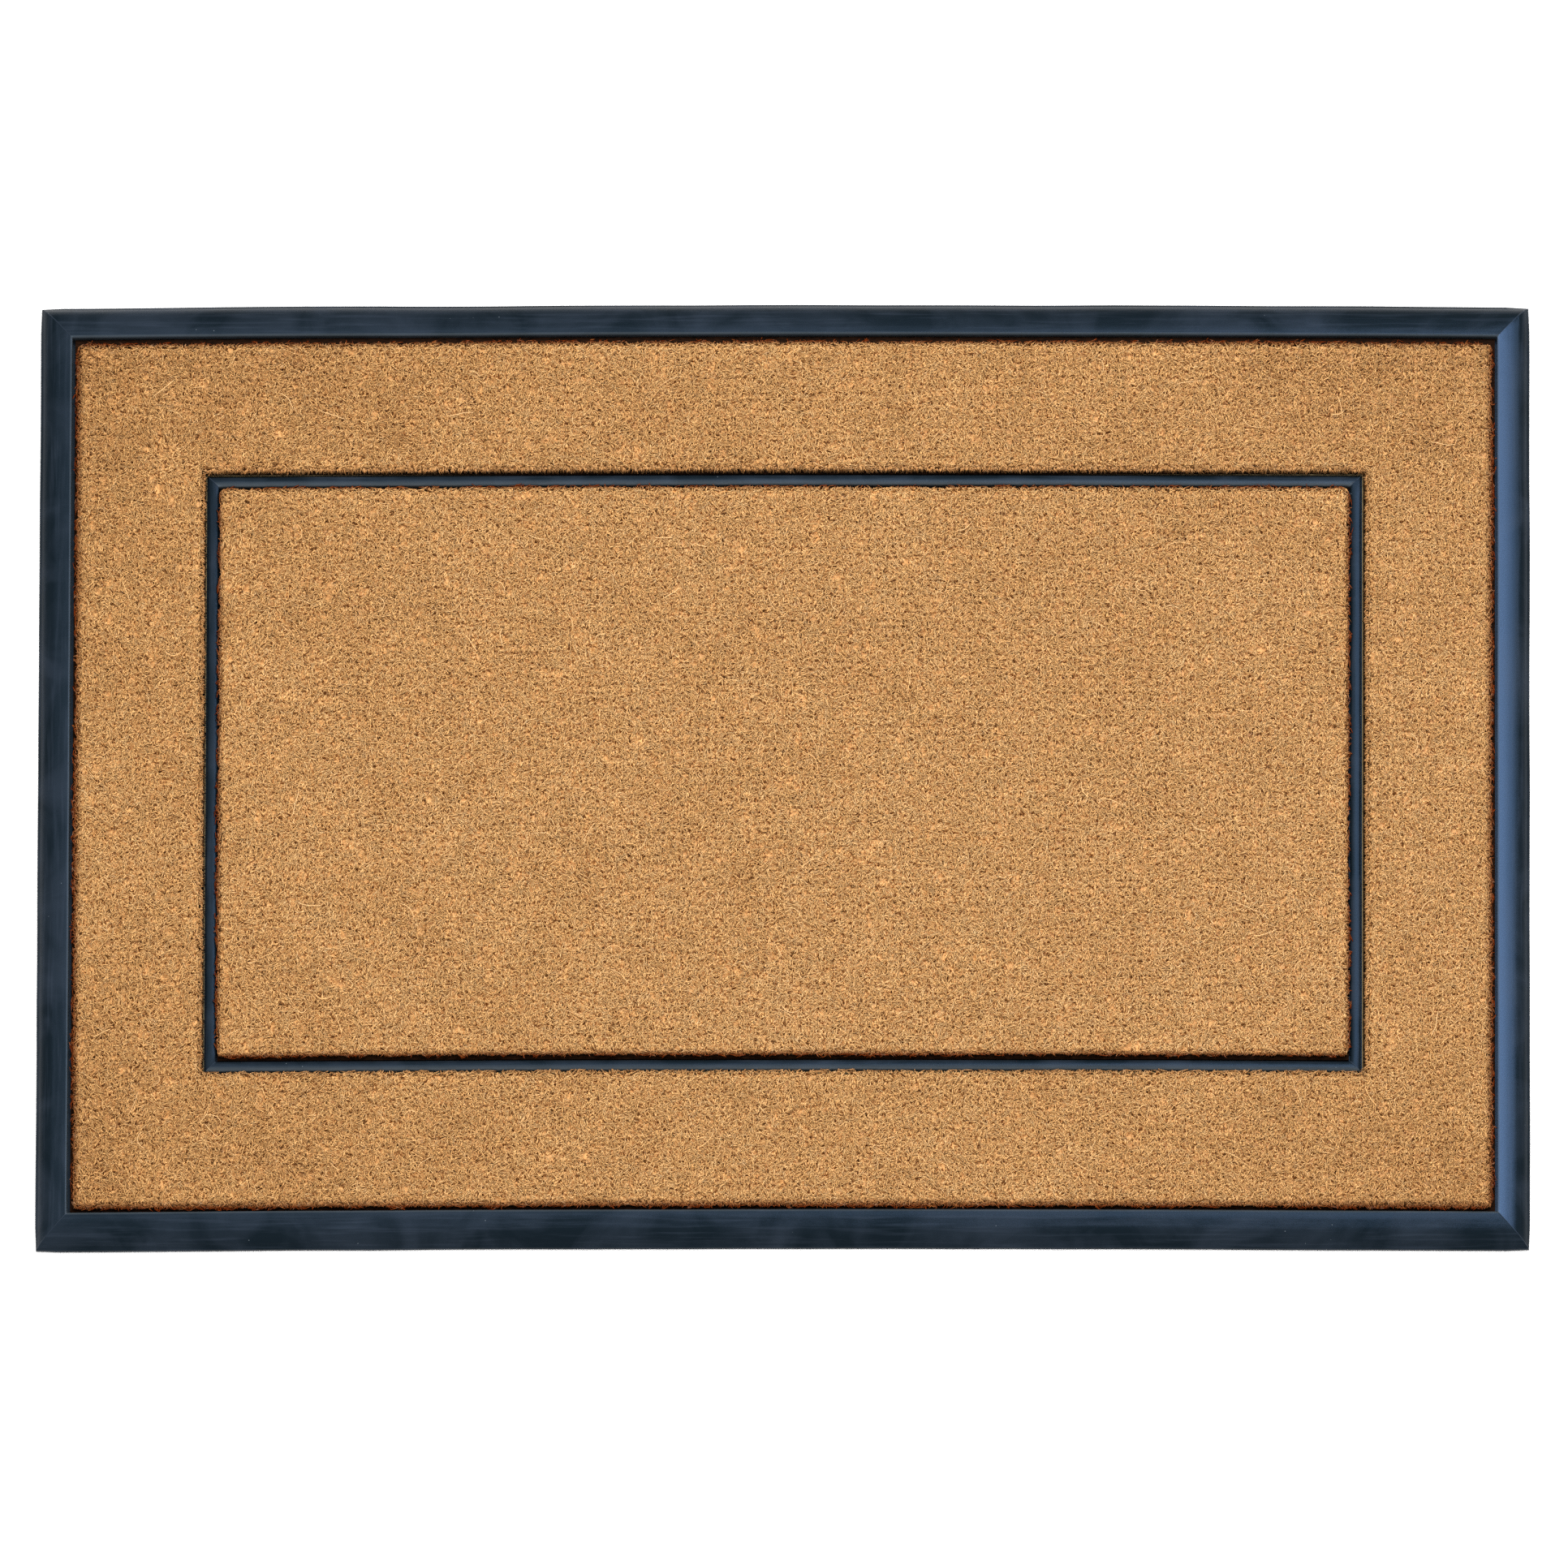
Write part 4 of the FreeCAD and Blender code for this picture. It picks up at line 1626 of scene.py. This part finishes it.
    def bent(self, field: TuftField, middle: np.ndarray, lean: np.ndarray, tone: np.ndarray,
             drop: np.ndarray, rng: np.random.Generator) -> Strands:
        """Grow each tuft's longer fibres, which bend over and lie on the others.

        Args:
            field: The field that the tufts belong to.
            middle: The tufts' middles.
            lean: Which way and how far each tuft is brushed over.
            tone: Each tuft's tone.
            drop: How far each tuft's top is below the pile's.
            rng: The source of every random choice.

        Returns:
            The fibres.
        """
        shape = (len(middle), self.bent_fibres)
        combed = np.arctan2(lean[:, 1], lean[:, 0])
        angle = combed[:, None] + rng.normal(0, 0.85, shape) + math.pi * rng.integers(0, 2, shape)
        root = middle[:, None, :] + rng.normal(0, 1.1 * MM, (*shape, 2))
        length = rng.uniform(2.4, 5.6, shape) * MM
        curl = angle + rng.normal(0, 0.6, shape)
        out = np.stack([np.cos(angle), np.sin(angle)], axis=2)
        on = np.stack([np.cos(curl), np.sin(curl)], axis=2)
        mid = root + out * length[..., None] + lean[:, None, :] * 0.6
        tip = mid + on * length[..., None] + lean[:, None, :] * 0.3
        root = self.settled(field, root)
        mid, tip = self.held_in(field, mid), self.held_in(field, tip)
        mid = self.clear_of_rib(field, root, mid)
        tip = self.clear_of_rib(field, mid, tip)
        top = self.plan.pile_top + 0.1 * MM - drop[:, None]
        heights = (
            top - rng.uniform(3.4, 4.0, shape) * MM,
            top - rng.uniform(0.2, 1.3, shape) * MM - self.edge_drop(field, mid),
            top - rng.uniform(0.0, 1.9, shape) * MM - self.edge_drop(field, tip),
        )
        places = [
            np.dstack([flat, height]).reshape(-1, 3)
            for flat, height in zip((root, mid, tip), heights)
        ]
        tones = (tone[:, None] + 0.03 + rng.normal(0, 0.08, shape)).ravel()
        return self.slivers(places, tones, self.bent_breadth, rng)

    def wall(self, field: TuftField, cells: np.ndarray, rng: np.random.Generator) -> Strands:
        """Stand fibres along the free edges, where the pile's side shows.

        Args:
            field: The field that the piece belongs to.
            cells: Which of its cells the piece has.
            rng: The source of every random choice.

        Returns:
            The fibres.
        """
        filled = np.pad(field.filled(), 1)
        columns, rows = len(field.xs) - 1, len(field.ys) - 1
        starts, ways, flares = [np.empty((0, 2))], [np.empty((0, 2))], [np.empty((0, 1))]
        for i, j in np.argwhere(cells):
            low = np.array([field.xs[i], field.ys[j]])
            high = np.array([field.xs[i + 1], field.ys[j + 1]])
            for p, q in ((1, 0), (-1, 0), (0, 1), (0, -1)):
                if filled[i + 1 + p, j + 1 + q]:
                    continue
                at_rib = field.hole and 0 <= i + p < columns and 0 <= j + q < rows
                flare = self.flare if at_rib and q < 1 else 0.2 * MM
                flares.append(np.full((self.wall_fibres, 1), flare))
                edge = low + (high - low) * rng.uniform(0, 1, (self.wall_fibres, 1))
                edge[:, 0 if p else 1] = (high if p + q > 0 else low)[0 if p else 1]
                starts.append(edge)
                ways.append(np.tile((float(p), float(q)), (self.wall_fibres, 1)))
        edge, way, flare = np.concatenate(starts), np.concatenate(ways), np.concatenate(flares)
        count = len(edge)
        tip = edge - way * rng.uniform(0.2, 1.5, (count, 1)) * MM
        root = tip + way * (flare - rng.uniform(-0.3, 0.3, (count, 1)) * MM)
        tip += way[:, ::-1] * rng.normal(0, 1.1, (count, 1)) * MM
        tip = self.settled(field, tip)
        root = np.where(flare > MM, root, self.settled(field, root))
        height = (self.plan.pile_top - self.plan.pile_bottom - 1.2 * MM) * rng.uniform(0.55, 1.0, count)
        foot = self.plan.pile_bottom + np.where(flare[:, 0] > MM, rng.uniform(0.8, 2.6, count) * MM, 0.0)
        places = [
            np.column_stack([root, foot]),
            np.column_stack([tip, self.plan.pile_bottom + height]),
        ]
        return self.slivers(places, rng.normal(self.wall_tone, 0.12, count), self.wall_breadth, rng)

    def slivers(self, places: Sequence[np.ndarray], tone: np.ndarray, broad: float,
                rng: np.random.Generator) -> Strands:
        """Run closed slivers through places along each fibre.

        Args:
            places: The fibres' places, one array for the roots, one for the next, and so on.
            tone: Each fibre's tone.
            broad: The fibres' width as a share of the usual one.
            rng: The source of every random choice.

        Returns:
            The slivers.
        """
        count = len(places[0])
        start = rng.uniform(-0.32, 0.32, count)
        half = self.fibre_width * broad / 2 * rng.uniform(0.65, 1.35, count)
        offset = rng.uniform(0, 0.5, count)
        parts = []
        for number, (low, high) in enumerate(zip(places, places[1:])):
            way = high - low
            way /= np.linalg.norm(way, axis=1)[:, None]
            level = np.cross(way, np.array([0.02, 0.01, 1.0]))
            level /= np.linalg.norm(level, axis=1)[:, None]
            upright = np.cross(way, level)
            ends = []
            turned = start + self.twist * number
            further = start + self.twist * (number + 1)
            for place, angle in ((low, turned), (high, further)):
                edge = level * np.cos(angle)[:, None] + upright * np.sin(angle)[:, None]
                ends += [place - edge * half[:, None], place + edge * half[:, None]]
            first = np.arange(count)[:, None, None] * 4
            corners = np.array(((0, 2, 1), (0, 1, 3), (0, 3, 2), (1, 2, 3)))
            grain = offset[:, None] + half[:, None] * np.array((-1.0, 1.0, -1.0, 1.0))
            parts.append(Strands(
                np.stack(ends, axis=1).reshape(-1, 3), (first + corners[None]).reshape(-1, 3),
                np.repeat(tone, 4), grain.ravel(),
            ))
        return Strands.joined(parts)

    def hairs(self, places: np.ndarray, rng: np.random.Generator) -> Strands:
        """Lay a few long loose hairs over the pile as thin three-sided rods.

        Args:
            places: Where a hair may start.
            rng: The source of every random choice.

        Returns:
            The hairs.
        """
        count, steps = round(len(places) * self.hair_share), 9
        start = places[rng.choice(len(places), count, replace=False)]
        heading = rng.uniform(0, 2 * math.pi, count)
        bend = rng.normal(0, 0.20, count)
        stride = rng.uniform(0.9, 2.3, count) * MM
        radius = rng.uniform(0.13, 0.21, count) * MM
        rise = self.plan.pile_top + rng.uniform(-0.4, 0.5, count) * MM
        points, flat = [], start.copy()
        for step in range(steps):
            height = rise + (math.sin(math.pi * step / (steps - 1)) - 0.6) * 1.2 * MM
            across = np.column_stack([-np.sin(heading), np.cos(heading), np.zeros(count)])
            thick = radius * (0.35 if step in (0, steps - 1) else 1.0)
            for turn in range(3):
                angle = 2 * math.pi * turn / 3
                side = across * math.cos(angle) + np.array([0.0, 0.0, 1.0]) * math.sin(angle)
                points.append(np.column_stack([flat, height]) + side * thick[:, None])
            flat = flat + np.column_stack([np.cos(heading), np.sin(heading)]) * stride[:, None]
            heading = heading + bend + rng.normal(0, 0.12, count)
        faces = [(0, 2, 1), (3 * steps - 3, 3 * steps - 2, 3 * steps - 1)]
        for step in range(steps - 1):
            for turn in range(3):
                a, b = 3 * step + turn, 3 * step + (turn + 1) % 3
                faces += [(a, b, b + 3), (a, b + 3, a + 3)]
        first = np.arange(count)[:, None, None] * 3 * steps
        tone = np.repeat(rng.normal(self.hair_tone, 0.12, count), 3 * steps)
        return Strands(
            np.stack(points, axis=1).reshape(-1, 3), (first + np.array(faces)[None]).reshape(-1, 3),
            tone, np.zeros(len(tone)),
        )

    def grow(self, name: str, field: TuftField, cells: np.ndarray,
             rng: np.random.Generator) -> bpy.types.Object:
        """Build one piece of pile: its core and its fibres in one mesh.

        Args:
            name: The piece's name.
            field: The field that the piece belongs to.
            cells: Which of its cells the piece has.
            rng: The source of every random choice.

        Returns:
            The piece.
        """
        strands = Strands.joined([self.core(field, cells, rng)] + self.fibres(field, cells, rng))
        piece = strands.piece(name, self.edge_shade(field, strands.points))
        self.plan.bend(piece)
        return piece

    def dress(self) -> dict[str, list[bpy.types.Object]]:
        """Build every piece of pile and return them by the inlay that they stand on.

        Returns:
            The pieces on each inlay.
        """
        rng = np.random.default_rng(self.seed)
        finish = CoirFinish().material()
        ring = TuftField.ring(self.plan, self.ring_outer, self.ring_inner, self.pitch)
        centre = TuftField.centre(self.plan, self.centre_edge, self.pitch)
        pieces = {"border_inlay": [], "centre_inlay": []}
        for inlay, field, groups in (
            ("border_inlay", ring, self.ring_groups(ring)),
            ("centre_inlay", centre, self.centre_groups(centre)),
        ):
            for (name, node), cells in groups.items():
                piece = self.grow(name, field, cells, rng)
                Bench.dress(piece, finish, "coir_pile", [node])
                pieces[inlay].append(piece)
        return pieces


# ---------------------------------------------------------------------------------------
# Studio
# ---------------------------------------------------------------------------------------


@dataclass
class Studio:
    """Pale floor, soft lights and the camera.

    The lens is long enough to keep the mat's sides all but parallel. It is no longer than this
    because a camera that backs off to see the whole mat from another angle, with the same lens,
    clips at a hundred times the mat's radius and would lose it.
    """

    tilt: float = math.radians(18.4)
    heading: float = math.radians(2.1)
    roll: float = math.radians(2.04)
    lens: float = 1600.0
    view_width: float = 0.9608
    aim: tuple[float, float] = (0.1 * MM, -4.4 * MM)
    floor_size: float = 12.0
    floor_drop: float = 0.0002
    world_strength: float = 1.05

    def floor(self) -> None:
        """Lay a wide pale floor just under the mat."""
        Bench.clear()
        bpy.ops.mesh.primitive_plane_add(size=self.floor_size, location=(0.0, 0.0, -self.floor_drop))
        floor = bpy.context.object
        floor.name = "studio_floor"
        floor.data.materials.append(FLOOR.material())

    def panel(self, name: str, place: Sequence[float], size: tuple[float, float], radiance: float,
              colour: tuple[float, float, float], matt: bool = True,
              gloss: bool = True) -> None:
        """Hang a soft light panel that faces the mat.

        Args:
            name: The light's name.
            place: Where it hangs.
            size: Its width and height.
            radiance: How bright its face is, where a lit white sheet is about 1.
            colour: Its tint.
            matt: Whether it lights matt surfaces.
            gloss: Whether it shows in glossy surfaces.
        """
        light = bpy.data.lights.new(name, "AREA")
        light.shape = "RECTANGLE"
        light.size, light.size_y = size
        light.energy = radiance * math.pi * size[0] * size[1]
        light.color = colour
        lamp = bpy.data.objects.new(name, light)
        lamp.location = place
        lamp.rotation_euler = Vector(place).to_track_quat("Z", "Y").to_euler()
        lamp.visible_camera = False
        lamp.visible_diffuse = matt
        lamp.visible_glossy = gloss
        bpy.context.scene.collection.objects.link(lamp)

    def lights(self) -> None:
        """Hang the key on the far side, a cool sky overhead and a cool window over the right."""
        self.panel("key", (0.6, 2.4, 6.0), (4.2, 3.4), 12.6, (1.0, 0.99, 0.97), gloss=False)
        self.panel("window", (0.80, 0.5, 1.3), (0.7, 1.8), 12.5, (0.60, 0.76, 1.0), matt=False)
        self.panel("sky", (-0.6, 1.9, 6.2), (5.0, 2.2), 3.8, (0.80, 0.90, 1.0), matt=False)
        self.panel("fill", (-0.8, -4.4, 4.2), (5.0, 2.6), 3.6, (1.0, 0.98, 0.95), gloss=False)
        world = bpy.data.worlds.new("studio_world")
        world.use_nodes = True
        background = world.node_tree.nodes["Background"]
        background.inputs["Color"].default_value = (1.0, 1.0, 1.0, 1.0)
        background.inputs["Strength"].default_value = self.world_strength
        bpy.context.scene.world = world
        bpy.context.scene.view_settings.view_transform = "Standard"
        bpy.context.scene.cycles.use_denoising = False

    def camera(self) -> None:
        """Stand the camera on the near side, tilted off the vertical, with a very long lens."""
        data = bpy.data.cameras.new("camera")
        data.sensor_width = 36.0
        data.lens = self.lens
        distance = self.lens / data.sensor_width * self.view_width
        data.clip_end = distance * 1.5
        camera = bpy.data.objects.new("camera", data)
        side, back = math.sin(self.heading), -math.cos(self.heading)
        away = Vector((math.sin(self.tilt) * side, math.sin(self.tilt) * back, math.cos(self.tilt)))
        camera.location = Vector((*self.aim, 0.0)) + away * distance
        upright = away.to_track_quat("Z", "Y")
        camera.rotation_euler = (upright @ Quaternion((0.0, 0.0, 1.0), -self.roll)).to_euler()
        bpy.context.scene.collection.objects.link(camera)
        bpy.context.scene.camera = camera

    def set_up(self) -> None:
        """Place the floor, the lights and the camera."""
        self.camera()
        self.floor()
        self.lights()


def dress_hidden_layers() -> None:
    """Give the CAD layers under the cloths a finish of their own."""
    latex, adhesive = LATEX.material(), ADHESIVE.material()
    for name in ("border_inlay", "centre_inlay"):
        for layer, finish in (("_backing", latex), ("_adhesive", adhesive)):
            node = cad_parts[name + layer]
            node.data.materials.clear()
            node.data.materials.append(finish)
            LOG.info("%s: finished", node.name)


def main() -> None:
    """Build the mat piece by piece and set up the studio."""
    logging.basicConfig(level=logging.INFO, format="%(name)s: %(message)s")
    # Blender's vector noise starts from the clock unless it is given a seed.
    noise.seed_set(SEED)
    plan = MatPlan()
    Studio().set_up()
    RubberTray(plan).dress()
    piles = CoirPile(plan).dress()
    GroundCloth(plan).dress(piles)
    dress_hidden_layers()


if __name__ == "__main__":
    main()
